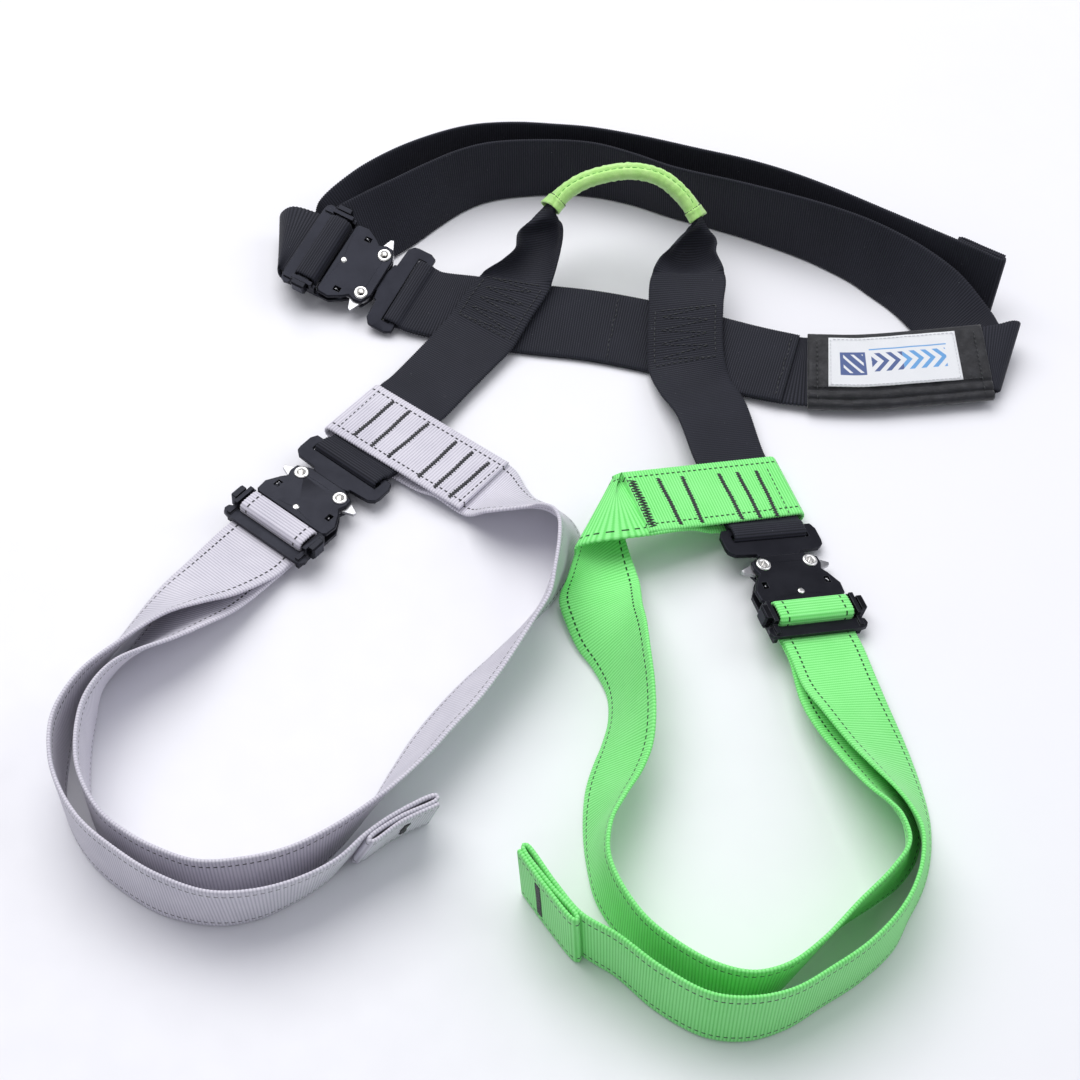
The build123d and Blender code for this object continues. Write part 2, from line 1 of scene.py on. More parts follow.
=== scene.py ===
import math
import bpy
import numpy as np
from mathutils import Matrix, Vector


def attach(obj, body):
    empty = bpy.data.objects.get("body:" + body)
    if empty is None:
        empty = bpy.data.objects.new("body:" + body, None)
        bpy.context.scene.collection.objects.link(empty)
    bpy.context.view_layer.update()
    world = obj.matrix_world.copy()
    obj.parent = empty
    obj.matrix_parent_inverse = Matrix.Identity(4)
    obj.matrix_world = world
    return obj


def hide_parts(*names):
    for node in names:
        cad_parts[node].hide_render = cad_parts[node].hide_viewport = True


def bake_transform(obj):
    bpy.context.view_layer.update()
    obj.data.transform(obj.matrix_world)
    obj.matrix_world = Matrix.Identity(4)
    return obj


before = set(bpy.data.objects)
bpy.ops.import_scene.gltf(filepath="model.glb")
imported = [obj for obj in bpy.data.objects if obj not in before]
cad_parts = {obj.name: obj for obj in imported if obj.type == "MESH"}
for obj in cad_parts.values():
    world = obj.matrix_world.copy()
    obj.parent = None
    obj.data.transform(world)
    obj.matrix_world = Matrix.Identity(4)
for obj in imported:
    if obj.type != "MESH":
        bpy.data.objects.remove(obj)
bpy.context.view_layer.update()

# ---- dimensions of the webbing, in millimetres like the stations below ----
MM = 0.001
WEB, THK = 45.0, 2.2
LAYER = THK + 0.2
EDGE_CLEAR = 0.6
CENTRE_X = -4.5           # shift of every station, as in the CAD
CROSS_LIFT = 2 * LAYER + 2.2   # crossing bridge strap over the middle of the doubled belt
KEEPER_TOP, KEEPER_LOW, KEEPER_MEET = -0.2, -7.3, -2.8   # heights of a keeper's layers on its seat
UP = np.array([0.0, 0.0, 1.0])
PER_SPAN = 24             # points of the fine curve between two knots


# ---- strap runs: knots are (centre, full-width vector) ----
def unit(v):
    return v / max(np.linalg.norm(v), 1e-9)


class Seat:
    """Local frame of a buckle: origin between the rivets, +y towards the lip."""

    def __init__(self, x, y, z, yaw, pitch, roll):
        yaw, pitch, roll = (math.radians(a) for a in (yaw, pitch, roll))
        self.origin = np.array([x + CENTRE_X, y, z], float)
        self.y = np.array([math.cos(yaw) * math.cos(pitch), math.sin(yaw) * math.cos(pitch),
                           math.sin(pitch)])
        level = unit(np.cross(self.y, UP))
        rise = np.cross(level, self.y)
        self.x = level * math.cos(roll) + rise * math.sin(roll)
        self.z = np.cross(self.x, self.y)

    def at(self, x, y, z):
        return self.origin + self.x * x + self.y * y + self.z * z

    def along(self, v):
        return self.x * v[0] + self.y * v[1] + self.z * v[2]


SEATS = {
    "grey": Seat(-142, 24, 14.5, -128, 1.5, 3),
    "green": Seat(117, -32, 15, -72, 0, 14),
    "waist": Seat(-121, 190.5, 20, 153, 9, 17),
}


def standing(stations):
    """Knots of a free run from (x, y, lift, lean): lean 0 stands on edge, +-90 lies flat."""
    tops = [np.array([x + CENTRE_X, y, EDGE_CLEAR + lift + WEB / 2 * math.cos(math.radians(lean))])
            for x, y, lift, lean in stations]
    knots = []
    for i, (x, y, lift, lean) in enumerate(stations):
        ahead = tops[min(i + 1, len(tops) - 1)] - tops[max(i - 1, 0)]
        side = np.cross(unit(np.array([ahead[0], ahead[1], 0.0])), UP)
        a = math.radians(lean)
        knots.append((tops[i], (UP * math.cos(a) + side * math.sin(a)) * WEB))
    return knots


def seated(seat, points, width):
    """Knots from points on a buckle's seat, all with one width vector."""
    return [(seat.at(*p), seat.along(width)) for p in points]


def loose(points):
    """Knots from stations given as (centre, width vector)."""
    return [(np.array(p, float) + [CENTRE_X, 0, 0], np.array(w, float)) for p, w in points]


def face_normals(knots):
    out = []
    for i, (c, w) in enumerate(knots):
        run = knots[min(i + 1, len(knots) - 1)][0] - knots[max(i - 1, 0)][0]
        out.append(unit(np.cross(run, w)))
    return out


def raised(knots, height):
    """The same knots moved along the strap's face normal."""
    return [(c + n * height, w) for (c, w), n in zip(knots, face_normals(knots))]


def dense(knots):
    """Centripetal Catmull-Rom curve through the knots."""
    chain = [(2 * knots[0][0] - knots[1][0], 2 * knots[0][1] - knots[1][1])] + knots
    chain.append((2 * knots[-1][0] - knots[-2][0], 2 * knots[-1][1] - knots[-2][1]))
    chain = np.array([np.concatenate(k) for k in chain])
    rows = [chain[1][None]]
    for p0, p1, p2, p3 in zip(chain, chain[1:], chain[2:], chain[3:]):
        t1 = max(np.linalg.norm((p1 - p0)[:3]), 0.01) ** 0.5
        t2 = t1 + max(np.linalg.norm((p2 - p1)[:3]), 0.01) ** 0.5
        t3 = t2 + max(np.linalg.norm((p3 - p2)[:3]), 0.01) ** 0.5
        t = (t1 + (t2 - t1) * np.arange(1, PER_SPAN + 1) / PER_SPAN)[:, None]
        ab = p0 * ((t1 - t) / t1) + p1 * (t / t1)
        bc = p1 * ((t2 - t) / (t2 - t1)) + p2 * ((t - t1) / (t2 - t1))
        cd = p2 * ((t3 - t) / (t3 - t2)) + p3 * ((t - t2) / (t3 - t2))
        abc = ab * ((t2 - t) / t2) + bc * (t / t2)
        bcd = bc * ((t3 - t) / (t3 - t1)) + cd * ((t - t1) / (t3 - t1))
        rows.append(abc * ((t2 - t) / (t2 - t1)) + bcd * ((t - t1) / (t2 - t1)))
    return np.vstack(rows)


class Run:
    """A strap run sampled evenly: centre c, width vector w, face normal n, length so far s."""

    def __init__(self, knots, step):
        fine = dense(knots)
        length = np.concatenate([[0], np.cumsum(np.linalg.norm(np.diff(fine[:, :3], axis=0), axis=1))])
        count = max(int(round(length[-1] / step)), 4)
        self.s = np.linspace(0, length[-1], count + 1)
        both = np.stack([np.interp(self.s, length, fine[:, k]) for k in range(6)], axis=1)
        self.c, self.w = both[:, :3], both[:, 3:]
        run = np.gradient(self.c, axis=0)
        self.t = run / np.linalg.norm(run, axis=1)[:, None]
        n = np.cross(self.t, self.w)
        self.n = n / np.linalg.norm(n, axis=1)[:, None]

    def part(self, i, j):
        """The stretch from section i to section j, both ends included."""
        piece = Run.__new__(Run)
        for k in "swtcn":
            setattr(piece, k, getattr(self, k)[i:j + 1])
        return piece

    def near(self, point):
        """Index of the section nearest a point."""
        return int(np.argmin(np.linalg.norm(self.c - np.asarray(point, float), axis=1)))

    def at(self, s, across, height):
        """Points on the strap in mm: s along, across from the middle, height above the middle."""
        s, across, height = (np.atleast_1d(np.asarray(v, float)) for v in (s, across, height))
        pick = lambda a: np.stack([np.interp(s, self.s, a[:, k]) for k in range(3)], axis=1)
        w = pick(self.w)
        return pick(self.c) + w * (across / WEB)[:, None] + pick(self.n) * height[:, None]


# ---- strap stations: the CAD's, but the bridge legs are narrower and the bights deeper ----
# grey leg strap, clockwise from the keeper to the buckle
GREY_LEG = [(-37, 14, 3, 64), (-28, 8, 2, 50), (-18, 5, 1, 42), (-9, -1, 0, 34), (-3, -13, 0, 22),
            (-3.5, -25, 0, 11), (-7, -40, 0, 2), (-13, -56, 0, -9), (-19, -69, 0, -20),
            (-28, -82, 0, -26), (-37, -95, 0, -31), (-48, -110, 0, -37), (-60, -127, 0, -40),
            (-73, -146, 0, -38), (-83, -163, 0, -34), (-101, -191, 0, -22), (-121, -213, 0, -12),
            (-139, -226, 0, -6), (-159, -233, 0, -2), (-180, -235, 0, 0), (-198, -229, 0, 0),
            (-216, -219, 0, 0), (-231, -206, 0, 0), (-245, -180, 0, 0), (-249, -148, 0, 3),
            (-247, -130, 0, 10), (-243, -113, 0, 23), (-234, -99, 0, 34), (-222, -85, 1, 48),
            (-210, -68, 3, 64), (-199, -52, 5, 78)]
GREY_SPLIT = 9
GREY_TAIL = [(-196, -43, 10, -76), (-211, -57, 7, -60), (-226, -73, 3, -43), (-243, -97, 0, -28),
             (-256, -124, 0, -12), (-261, -151, 0, 0), (-259, -175, 0, 0), (-252, -193, 0, 0),
             (-239, -212, 0, 0), (-219, -229, 0, 0), (-199, -241, 0, 2), (-174, -248, 0, 8),
             (-154, -246, 0, 12), (-135, -238, 0, 17), (-119, -227, 0, 20)]
GREY_END = [(-106, -213, 1.8, 22), (-91, -201, 2, 22), (-73, -191, 2, 22)]

# green leg strap, anticlockwise from the keeper to the buckle
GREEN_FOLD = [((19.5, -6, 31), (16, 45, 6)), ((12.5, -7.5, 27.5), (21, 46, 3)),
              ((13, -11, 21.5), (24, 43, -1)), ((13, -29, 14), (33, 30, -4))]
GREEN_LEG = [(14, -49, 6, -76), (16, -62, 4, -65), (19, -76, 2, -52), (24, -91, 1, -38),
             (28, -109, 0, -28), (29, -127, 0, -29), (27, -145, 0, -36), (24, -158, 0, -41),
             (19, -174, 0, -39), (14, -193, 0, -27), (11, -212, 0, -14), (13, -234, 0, -6),
             (29, -262, 0, 0), (49, -279, 0, 3), (66, -288, 0, 4), (80, -290, 0, 6),
             (94, -285, 0, 9), (110, -271, 0, 13), (128, -252, 0, 13), (147, -236, 0, 7),
             (158, -224, 0, 0), (162, -210, 0, -15), (162, -198, 0, -28), (159, -185, 1, -42),
             (155, -168, 2, -56), (149, -150, 3, -66), (143, -133, 3, -73), (138, -117, 3, -76)]
GREEN_SPLIT = 3
GREEN_TAIL = [(139, -110, 6, 74), (145, -128, 5, 65), (154, -152, 3, 54), (162, -173, 1, 41),
              (167, -189, 0, 30), (169, -203, 0, 20), (169, -216, 0, 11), (166, -229, 0, 5),
              (160, -243, 0, 0), (151, -259, 0, 0), (134, -276, 0, -2), (115, -289, 0, -3),
              (97, -300, 0, -2), (78, -305, 0, 0), (59, -303, 0, 0), (37, -290, 0, 0),
              (18, -273, 0, -2)]
GREEN_END = [(2, -262, 0, -3), (-10, -246, 0, -3), (-23, -226, 0, -3)]

# waist belt: doubled front, fold under at the hip, back band, fold under again beside the buckle
FRONT_DOUBLE = [(-60, 169, 0, -68), (-30, 162, 0, -66), (14, 155, 0, -66), (48, 146, 0, -66),
                (78, 136, 0, -66), (108, 124, 2, -68), (131, 116.5, 4, -71)]
FRONT_SINGLE = [(142, 114.5, 5, -72), (172, 113, 6, -72), (208, 116, 6.5, -72), (234, 119, 6.5, -71)]
HIP_FOLD = [((250, 122, 16), (8, 42, 14)), ((259, 125, 16), (14, 43, 15)),
            ((262.5, 126.5, 13), (16, 43, 15)), ((259, 127, 9.8), (17, 42, 14)),
            ((250, 131, 9), (22, 38, 13))]
BACK_BAND = [(238, 147, 2, 69), (224, 168, 1, 48), (208, 186, 0, 33), (193, 199, 0, 25),
             (180, 209, 0, 17), (166, 218, 0, 12), (150, 227, 0, 7), (111, 245, 0, 0),
             (65, 263, 0, -4), (41, 275, 0, -3), (15, 284, 0, 0), (-18, 286, 0, 2),
             (-50, 282, 0, 6), (-68, 274, 0, 10), (-86, 261, 0, 17), (-104, 247, 0, 28),
             (-122, 235, 1, 42), (-141, 226, 4, 64)]
BACK_SPLIT = 5
LEFT_FOLD_IN = [((-158, 222, 9), (-9, 43, 6)), ((-169, 220.5, 8.6), (-2, 49, 5)),
                ((-175.5, 219.5, 14.5), (-3, 50, 5)), ((-172.5, 217.5, 20.8), (8, 46, 9))]
LEFT_FOLD_OUT = [((-176, 220, 24), (6, 46, 8)), ((-180.5, 221.5, 15), (-3, 50, 5)),
                 ((-171, 222.5, 5.2), (-1, 49, 4)), ((-157, 227, 4.6), (-12, 43, 5))]
BELT_TAIL = [(-143, 238, 2, -58), (-129, 254, 0, -30), (-112, 272, 0, -12), (-90, 290, 0, 0),
             (-63, 301, 0, 0), (-35, 304, 0, 0), (-8, 302, 0, 0), (15, 299, 0, 0), (48, 290, 0, 0),
             (80, 279, 0, 0), (112, 268, 0, 0), (136, 256, 0, -3), (162, 239, 0, -9),
             (193, 217, 0, -15), (220, 199, 0, -14)]
BELT_END = [(234, 190, 0, -12), (246, 182, 0, -11), (258, 174, 0, -10)]

# bridge: left drop strap, up over the belt, through the sleeve and down to the right drop strap
LEFT_DROP = [((-90, 98, 8.5), (35, -28, -2)), ((-79, 115, 7.5), (37, -26, -1)),
             ((-64, 136, 8.5), (38, -24, -3))]
LEFT_CROSS = [(-54, 150, 38, -24), (-43, 166, 40, -19), (-33, 179, 43, -10)]
LEFT_LEG = [((-23.5, 191, 31), (34, 2, 2)), ((-18.5, 199, 36), (27, 4, 4)),
            ((-17, 207, 43), (24, 0, 6))]
SLEEVE_RUN = [((-12, 215, 52), (5, -13, 10)), ((-2, 221.5, 59), (0, -14, 11.5)),
              ((11, 226, 65), (0, -14, 11.5)), ((37, 229, 69), (0, -14, 11.5)),
              ((56, 226.5, 65.5), (0, -14, 11.5)), ((70, 219, 56.5), (0, -14, 11.5)),
              ((79, 211, 47), (-4, -14, 11))]
RIGHT_LEG = [((76.5, 204, 39), (-20, -9, 7)), ((73, 193, 32), (-30, -3, 2)),
             ((72, 178, 30), (-45, -1, 0))]
RIGHT_CROSS = [(70, 157, -45, 0), (69, 140, -45, 0), (69.5, 123, -45, -3)]
RIGHT_DROP = [((74, 106, 9), (-43, -11, 1)), ((82, 87, 11), (-42, -14, 6))]

# (y, z) on a seat: in from the lip, round the slide bar, and out again above
IN_FLIGHT = [(60, -7.1), (46, -7.1), (34, -7.1)]
AROUND_BAR = [(31.2, -6.4), (29.3, -4.7), (28.7, -2.0), (28.7, 1.4), (29.6, 3.2), (31.6, 3.9),
              (35, 3.9), (38.6, 3.9), (40.6, 3.2), (41.2, 1.4), (41.2, -1.6), (41.7, -3.6),
              (43.4, -4.6)]
OUT_FLIGHT = [(47, -4.7), (60, -4.7)]


def buckle_run(seat, width):
    """Knots of a strap in under the lip, round the slide bar and out again."""
    return seated(seat, [(0, y, z) for y, z in IN_FLIGHT + AROUND_BAR + OUT_FLIGHT], width)


def adaptor_bight(seat, width, shear=0.0):
    """Knots of a strap end looped through the adaptor's slot; shear slants it sideways."""
    upper = [(-44, -2.5), (-36, -2.5), (-33.4, -2.5), (-31.8, -2.4), (-30.4, -1.7), (-29.2, -1.0),
             (-24.2, -0.8), (-21.8, -1.5)]
    route = upper + [(-20.9, -3.7)] + [(y, -7.4 - z) for y, z in reversed(upper)]
    return seated(seat, [(-shear * (y + 24), y, z) for y, z in route], width)


def keeper_run(seat, end_x, bight_x, rise_x, exit_x, y_end, y_exit, width):
    """Knots of a leg strap from its sewn end, over the drop strap, round the bight and out."""
    way = 1 if bight_x > end_x else -1
    route = [(end_x, KEEPER_TOP), ((end_x + bight_x) / 2, KEEPER_TOP), (bight_x - way * 9, KEEPER_TOP),
             (bight_x - way * 3, KEEPER_TOP), (bight_x - way * 0.9, KEEPER_TOP - 1),
             (bight_x, KEEPER_TOP - 2.8), (bight_x, KEEPER_LOW + 2.8),
             (bight_x - way * 0.9, KEEPER_LOW + 1), (bight_x - way * 3, KEEPER_LOW),
             (bight_x - way * 9, KEEPER_LOW), (rise_x, KEEPER_LOW),
             (rise_x - way * 14, KEEPER_MEET), (exit_x, KEEPER_MEET)]
    slope = (y_exit - y_end) / (exit_x - bight_x)
    return seated(seat, [(x, y_end + slope * (x - bight_x), z) for x, z in route], width)


def on_belt(belt, places):
    """Knots of a strap lying flat across the doubled belt, from (x, y, wx, wy) in plan."""
    under = Run(belt, 5.0)
    knots = []
    for plan_x, y, wx, wy in places:
        x = plan_x + CENTRE_X
        k = int(np.argmin(abs(under.c[:, 0] - x)))
        c, up = under.c[k], under.n[k]
        z = c[2] + (CROSS_LIFT - (x - c[0]) * up[0] - (y - c[1]) * up[1]) / up[2]
        knots.append((np.array([x, y, z]), np.array([wx, wy, -(wx * up[0] + wy * up[1]) / up[2]])))
    return knots


def rolled_end(run, side):
    """Strap end folded back and forth into three layers."""
    second = raised(run, side * LAYER)
    third = raised(run, side * 2 * LAYER)
    ahead = unit(run[-1][0] - run[-2][0]) * (LAYER / 2)
    turn_out = ((run[-1][0] + second[-1][0]) / 2 + ahead, run[-1][1])
    turn_in = ((second[0][0] + third[0][0]) / 2 - ahead, run[0][1])
    return run + [turn_out] + second[::-1] + [turn_in] + third


# ---- meshes ----
def placed(name, data):
    obj = bpy.data.objects.new(name, data)
    bpy.context.scene.collection.objects.link(obj)
    return obj


def make_mesh(name, verts, faces, material, body, uv=None):
    """One piece from points in mm; uv gives each vertex its place on the cloth in mm."""
    mesh = bpy.data.meshes.new(name)
    mesh.from_pydata((np.asarray(verts) * MM).tolist(), [], faces)
    mesh.polygons.foreach_set("use_smooth", [len(f) < 5 for f in faces])
    if uv is not None:
        layer = mesh.uv_layers.new(name="cloth")
        corner = np.zeros(len(mesh.loops), int)
        mesh.loops.foreach_get("vertex_index", corner)
        layer.data.foreach_set("uv", (np.asarray(uv) * MM)[corner].ravel())
    mesh.materials.append(material)
    obj = placed(name, mesh)
    if body:
        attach(obj, body)
    return obj


def grid_faces(rows, cols, ends=(True, True)):
    """Quads of a tube of rows x cols points, with a cap on each end that asks for one."""
    r = np.arange(rows - 1)[:, None] * cols
    k = np.arange(cols)[None]
    nxt = (k + 1) % cols
    quads = np.stack([r + k, r + nxt, r + cols + nxt, r + cols + k], axis=-1).reshape(-1, 4).tolist()
    if ends[0]:
        quads.append(list(range(cols))[::-1])
    if ends[1]:
        quads.append(list(range((rows - 1) * cols, rows * cols)))
    return quads


def swept(run, x, z):
    """Section points carried along a run: x across the strap, z along its face normal, in mm."""
    flat = run.w / np.linalg.norm(run.w, axis=1)[:, None]
    return run.c[:, None] + flat[:, None] * x[..., None] + run.n[:, None] * z[..., None]


def cloth_uv(along, across):
    return np.stack(np.broadcast_arrays(along, across), -1).reshape(-1, 2)


def strap_outline():
    """Section of the webbing, anticlockwise from the lower left: across and height in mm."""
    half, r = WEB / 2, THK / 2
    flat = np.array([-0.93, -0.8, -0.6, -0.4, -0.2, 0, 0.2, 0.4, 0.6, 0.8, 0.93]) * half
    turn = np.radians([-55, -20, 20, 55])
    edge_x, edge_z = half - r + r * np.cos(turn), r * np.sin(turn)
    across = np.concatenate([flat, edge_x, flat[::-1], -edge_x[::-1]])
    height = np.concatenate([np.full(len(flat), -r), edge_z, np.full(len(flat), r), edge_z[::-1]])
    return across, height


def strap(name, run, material, body, rib, first=0, gathered=False, ends=(True, True)):
    """Woven strap along a run: a rib on every second section, rounded and scalloped selvedges.

    A gathered strap is pulled narrower than it was woven in places, and bulges there.
    """
    across, height = strap_outline()
    count = len(run.c)
    phase = np.where((np.arange(count) + first) % 2 == 0, 1.0, -1.0)[:, None]
    edge = np.abs(across) > WEB / 2 - THK / 2
    wide = np.linalg.norm(run.w, axis=1)[:, None]
    x = across * (wide / WEB) + np.sign(across) * edge * RIB_SCALLOP * phase
    z = height * (1 + RIB_RELIEF * phase)
    if gathered:
        ratio = np.clip(wide / WEB, 0.2, 0.9999)
        angle = np.sqrt(6 * (1 - ratio)) * (1 + 0.15 * (1 - ratio))
        radius = WEB / 2 / angle
        bend = across / radius
        rise = (radius + height) * np.cos(bend) - radius * (1 + np.cos(angle)) / 2
        gather = np.clip((0.99 - ratio) / 0.04, 0, 1) * np.clip((ratio - TUCK) / 0.16, 0, 1)
        x = x + gather * ((radius + height) * np.sin(bend) - x)
        z = z + gather * (rise - z)
    uv = cloth_uv(((np.arange(count) + first) * rib / 2)[:, None], across)
    return make_mesh(name, swept(run, x, z).reshape(-1, 3), grid_faces(count, len(across), ends),
                     material, body, uv)


def stitches(name, ends, normals, radius, material, body):
    """Sewing thread laid as one arched stitch per pair of end points; one normal, or one each."""
    ends, normals = np.asarray(ends, float), np.asarray(normals, float)
    ahead = ends[:, 1] - ends[:, 0]
    side = np.cross(ahead, normals)
    side /= np.maximum(np.linalg.norm(side, axis=1), 1e-9)[:, None]
    up = np.cross(side, ahead)
    up /= np.maximum(np.linalg.norm(up, axis=1), 1e-9)[:, None]
    steps = np.array([0.0, 0.16, 0.5, 0.84, 1.0])
    girth = np.array([0.5, 0.95, 1.05, 0.95, 0.5]) * radius
    lift = np.array([-0.7, 0.15, 0.5, 0.15, -0.7]) * radius
    turn = np.linspace(0, 2 * np.pi, 6, endpoint=False)
    line = ends[:, 0, None] + ahead[:, None] * steps[:, None] + up[:, None] * lift[:, None]
    ring = side[:, None] * np.cos(turn)[:, None] + up[:, None] * np.sin(turn)[:, None]
    verts = line[:, :, None] + ring[:, None] * girth[:, None, None]
    one = grid_faces(len(steps), len(turn))
    faces = [[i + len(steps) * len(turn) * n for i in f] for n in range(len(ends)) for f in one]
    return make_mesh(name, verts.reshape(-1, 3), faces, material, body)


def seam_line(points, normal, length, gap):
    """Running stitches along a polyline: end points and normals."""
    points = np.asarray(points, float)
    along = np.concatenate([[0], np.cumsum(np.linalg.norm(np.diff(points, axis=0), axis=1))])
    starts = np.arange(0, along[-1] - length, length + gap)
    at = lambda s: np.stack([np.interp(s, along, points[:, k]) for k in range(3)], axis=1)
    pairs = np.stack([at(starts), at(starts + length)], axis=1)
    return pairs, np.broadcast_to(normal, (len(pairs), 3))


def running_seams(name, lines, radius, material):
    """Running stitches along several lines, each (points, normal, stitch length, gap)."""
    sewn = [seam_line(*line) for line in lines]
    return stitches(name, np.concatenate([p for p, n in sewn]), np.concatenate([n for p, n in sewn]),
                    radius, material, "harness")


def tack_line(a, b, across, pitch, wobble):
    """Zigzag bartack from a to b: stitches swing from one side of the bar to the other."""
    a, b, across = (np.asarray(p, float) for p in (a, b, across))
    count = max(int(np.linalg.norm(b - a) / pitch * 2), 4)
    t = np.linspace(0, 1, count + 1)[:, None]
    swing = np.where(np.arange(count + 1) % 2 == 0, 0.5, -0.5)[:, None]
    drift = wobble * np.sin(np.arange(count + 1) * 1.7)[:, None] + wobble * np.sin(t * 9)
    points = a + (b - a) * t + across * (swing + drift)
    return np.stack([points[:-1], points[1:]], axis=1)


def tube(path, radius, sides):
    """Round wire along a path of points in mm: vertices and faces."""
    path = np.asarray(path, float)
    ahead = np.gradient(path, axis=0)
    ahead /= np.linalg.norm(ahead, axis=1)[:, None]
    u = unit(np.cross(ahead[0], [0.3, 0.5, 0.8]))
    rows = []
    turn = np.linspace(0, 2 * np.pi, sides, endpoint=False)
    for p, t in zip(path, ahead):
        u = unit(u - t * np.dot(u, t))
        v = np.cross(t, u)
        rows.append(p + radius * (np.outer(np.cos(turn), u) + np.outer(np.sin(turn), v)))
    return np.concatenate(rows), grid_faces(len(path), sides)


def lathe(profile, sides, hexed=()):
    """Turned shape about Z from (radius, z); rows named in hexed follow a hexagon across flats."""
    turn = np.linspace(0, 2 * np.pi, sides, endpoint=False)
    rows = []
    for i, (r, z) in enumerate(profile):
        k = 1.0 / np.cos((turn % (np.pi / 3)) - np.pi / 6) if i in hexed else np.ones(sides)
        rows.append(np.stack([r * k * np.cos(turn), r * k * np.sin(turn), np.full(sides, z)], -1))
    return np.concatenate(rows), grid_faces(len(profile), sides)


# ---- materials ----
class Shader:
    """Small helper for building a node material."""

    def __init__(self, name, **constants):
        self.material = bpy.data.materials.new(name)
        self.material.use_nodes = True
        self.tree = self.material.node_tree
        self.surface = self.tree.nodes["Principled BSDF"]
        for socket, value in constants.items():
            self.surface.inputs[socket.replace("_", " ")].default_value = value

    def node(self, kind, **settings):
        n = self.tree.nodes.new(kind)
        for k, v in settings.items():
            setattr(n, k, v)
        return n

    def put(self, socket, value):
        if isinstance(value, bpy.types.NodeSocket):
            self.tree.links.new(value, socket)
        else:
            socket.default_value = value

    def math(self, op, *values):
        n = self.node("ShaderNodeMath", operation=op)
        for k, v in enumerate(values):
            self.put(n.inputs[k], v)
        return n.outputs[0]

    def mix(self, fac, a, b):
        n = self.node("ShaderNodeMix", data_type="RGBA")
        for socket, v in ((n.inputs[0], fac), (n.inputs[6], a), (n.inputs[7], b)):
            self.put(socket, v if isinstance(v, (float, bpy.types.NodeSocket)) else (*v, 1.0))
        return n.outputs[2]

    def noise(self, scale, detail, rough=0.5):
        n = self.node("ShaderNodeTexNoise")
        place = self.node("ShaderNodeTexCoord").outputs["Object"]
        for socket, value in (("Scale", scale), ("Detail", detail), ("Roughness", rough),
                              ("Vector", place)):
            self.put(n.inputs[socket], value)
        return n.outputs["Fac"]

    def ramp(self, value, lo, hi, to_lo=0.0, to_hi=1.0):
        n = self.node("ShaderNodeMapRange", interpolation_type="SMOOTHSTEP")
        for k, v in enumerate((value, lo, hi, to_lo, to_hi)):
            self.put(n.inputs[k], v)
        return n.outputs[0]

    def cloth_mm(self):
        """Place on the cloth in mm: along the strap and across it."""
        uv = self.node("ShaderNodeUVMap", uv_map="cloth").outputs[0]
        xyz = self.node("ShaderNodeSeparateXYZ")
        self.put(xyz.inputs[0], uv)
        return tuple(self.math("MULTIPLY", xyz.outputs[k], 1000.0) for k in (0, 1))

    def wave(self, value, pitch, phase=0.0):
        """Cosine of a length in mm, from 0 to 1."""
        turns = self.math("MULTIPLY_ADD", value, 2 * math.pi / pitch, phase)
        return self.math("MULTIPLY_ADD", self.math("COSINE", turns), 0.5, 0.5)

    def bump(self, height, distance, strength, normal=None):
        n = self.node("ShaderNodeBump")
        for socket, value in (("Strength", strength), ("Distance", distance), ("Height", height)):
            self.put(n.inputs[socket], value)
        if normal is not None:
            self.put(n.inputs["Normal"], normal)
        self.put(self.surface.inputs["Normal"], n.outputs[0])
        return n.outputs[0]


def webbing_material(name, ground, painted_shade, rib, edge, tracer=None, lint=0.0, sheen=0.25):
    """Polyester webbing: cross ribs of floating yarns, tracer thread dashes near both selvedges, and
    painted shade in the grooves between ribs and yarns.
    """
    s = Shader(name, Sheen_Weight=sheen, Sheen_Roughness=0.45, Specular_IOR_Level=0.35)
    along, across = s.cloth_mm()
    ribs = s.wave(along, rib)
    odd = s.math("MULTIPLY", s.math("ROUND", s.math("DIVIDE", along, rib)), math.pi)
    yarn = s.wave(s.math("MULTIPLY_ADD", across, 2 * math.pi / YARN, odd), 2 * math.pi)
    fibre = s.noise(2600.0, 2.0)
    weave = s.math("MULTIPLY", s.math("POWER", ribs, 0.7), s.math("MULTIPLY_ADD", yarn, 0.4, 0.6))
    height = s.math("MULTIPLY_ADD", fibre, 0.25, weave)
    drift = s.ramp(s.noise(38.0, 4.0), 0.3, 0.72)
    # painted shade: the grooves between the ribs and yarn floats take the darker colour
    hollow_shaded = s.mix(s.ramp(weave, 0.05, 0.75), painted_shade, ground)
    worn = s.mix(s.math("MULTIPLY", drift, 0.16), hollow_shaded, tuple(min(c * 1.5 + 0.01, 1) for c in ground))
    colour = s.mix(s.math("MULTIPLY", s.ramp(fibre, 0.45, 0.75), 0.14), worn, edge)
    if tracer:
        off = s.math("ABSOLUTE", s.math("SUBTRACT", s.math("ABSOLUTE", across), TRACER_AT))
        line = s.ramp(off, TRACER_WIDE / 2, TRACER_WIDE / 2 + 0.25, 1.0, 0.0)
        dash = s.ramp(s.wave(along, 2 * rib, 0.6), 0.36, 0.5)
        colour = s.mix(s.math("MULTIPLY", line, dash), colour, tracer)
    if lint:
        fluff = s.ramp(s.noise(900.0, 2.0), 0.73, 0.8, 0.0, lint)
        colour = s.mix(fluff, colour, (0.5, 0.52, 0.56))
    s.put(s.surface.inputs["Base Color"], colour)
    s.put(s.surface.inputs["Roughness"], s.ramp(weave, 0.0, 1.0, 0.88, 0.62))
    s.bump(height, 0.00028, 0.6)
    return s.material


def thread_material(name, colour):
    """Twisted bonded sewing thread."""
    s = Shader(name, Sheen_Weight=0.15)
    twist = s.noise(3200.0, 1.0)
    s.put(s.surface.inputs["Base Color"], s.mix(twist, tuple(c * 0.55 for c in colour), colour))
    s.put(s.surface.inputs["Roughness"], s.ramp(twist, 0.2, 0.8, 0.62, 0.42))
    s.bump(twist, 0.0002, 0.6)
    return s.material


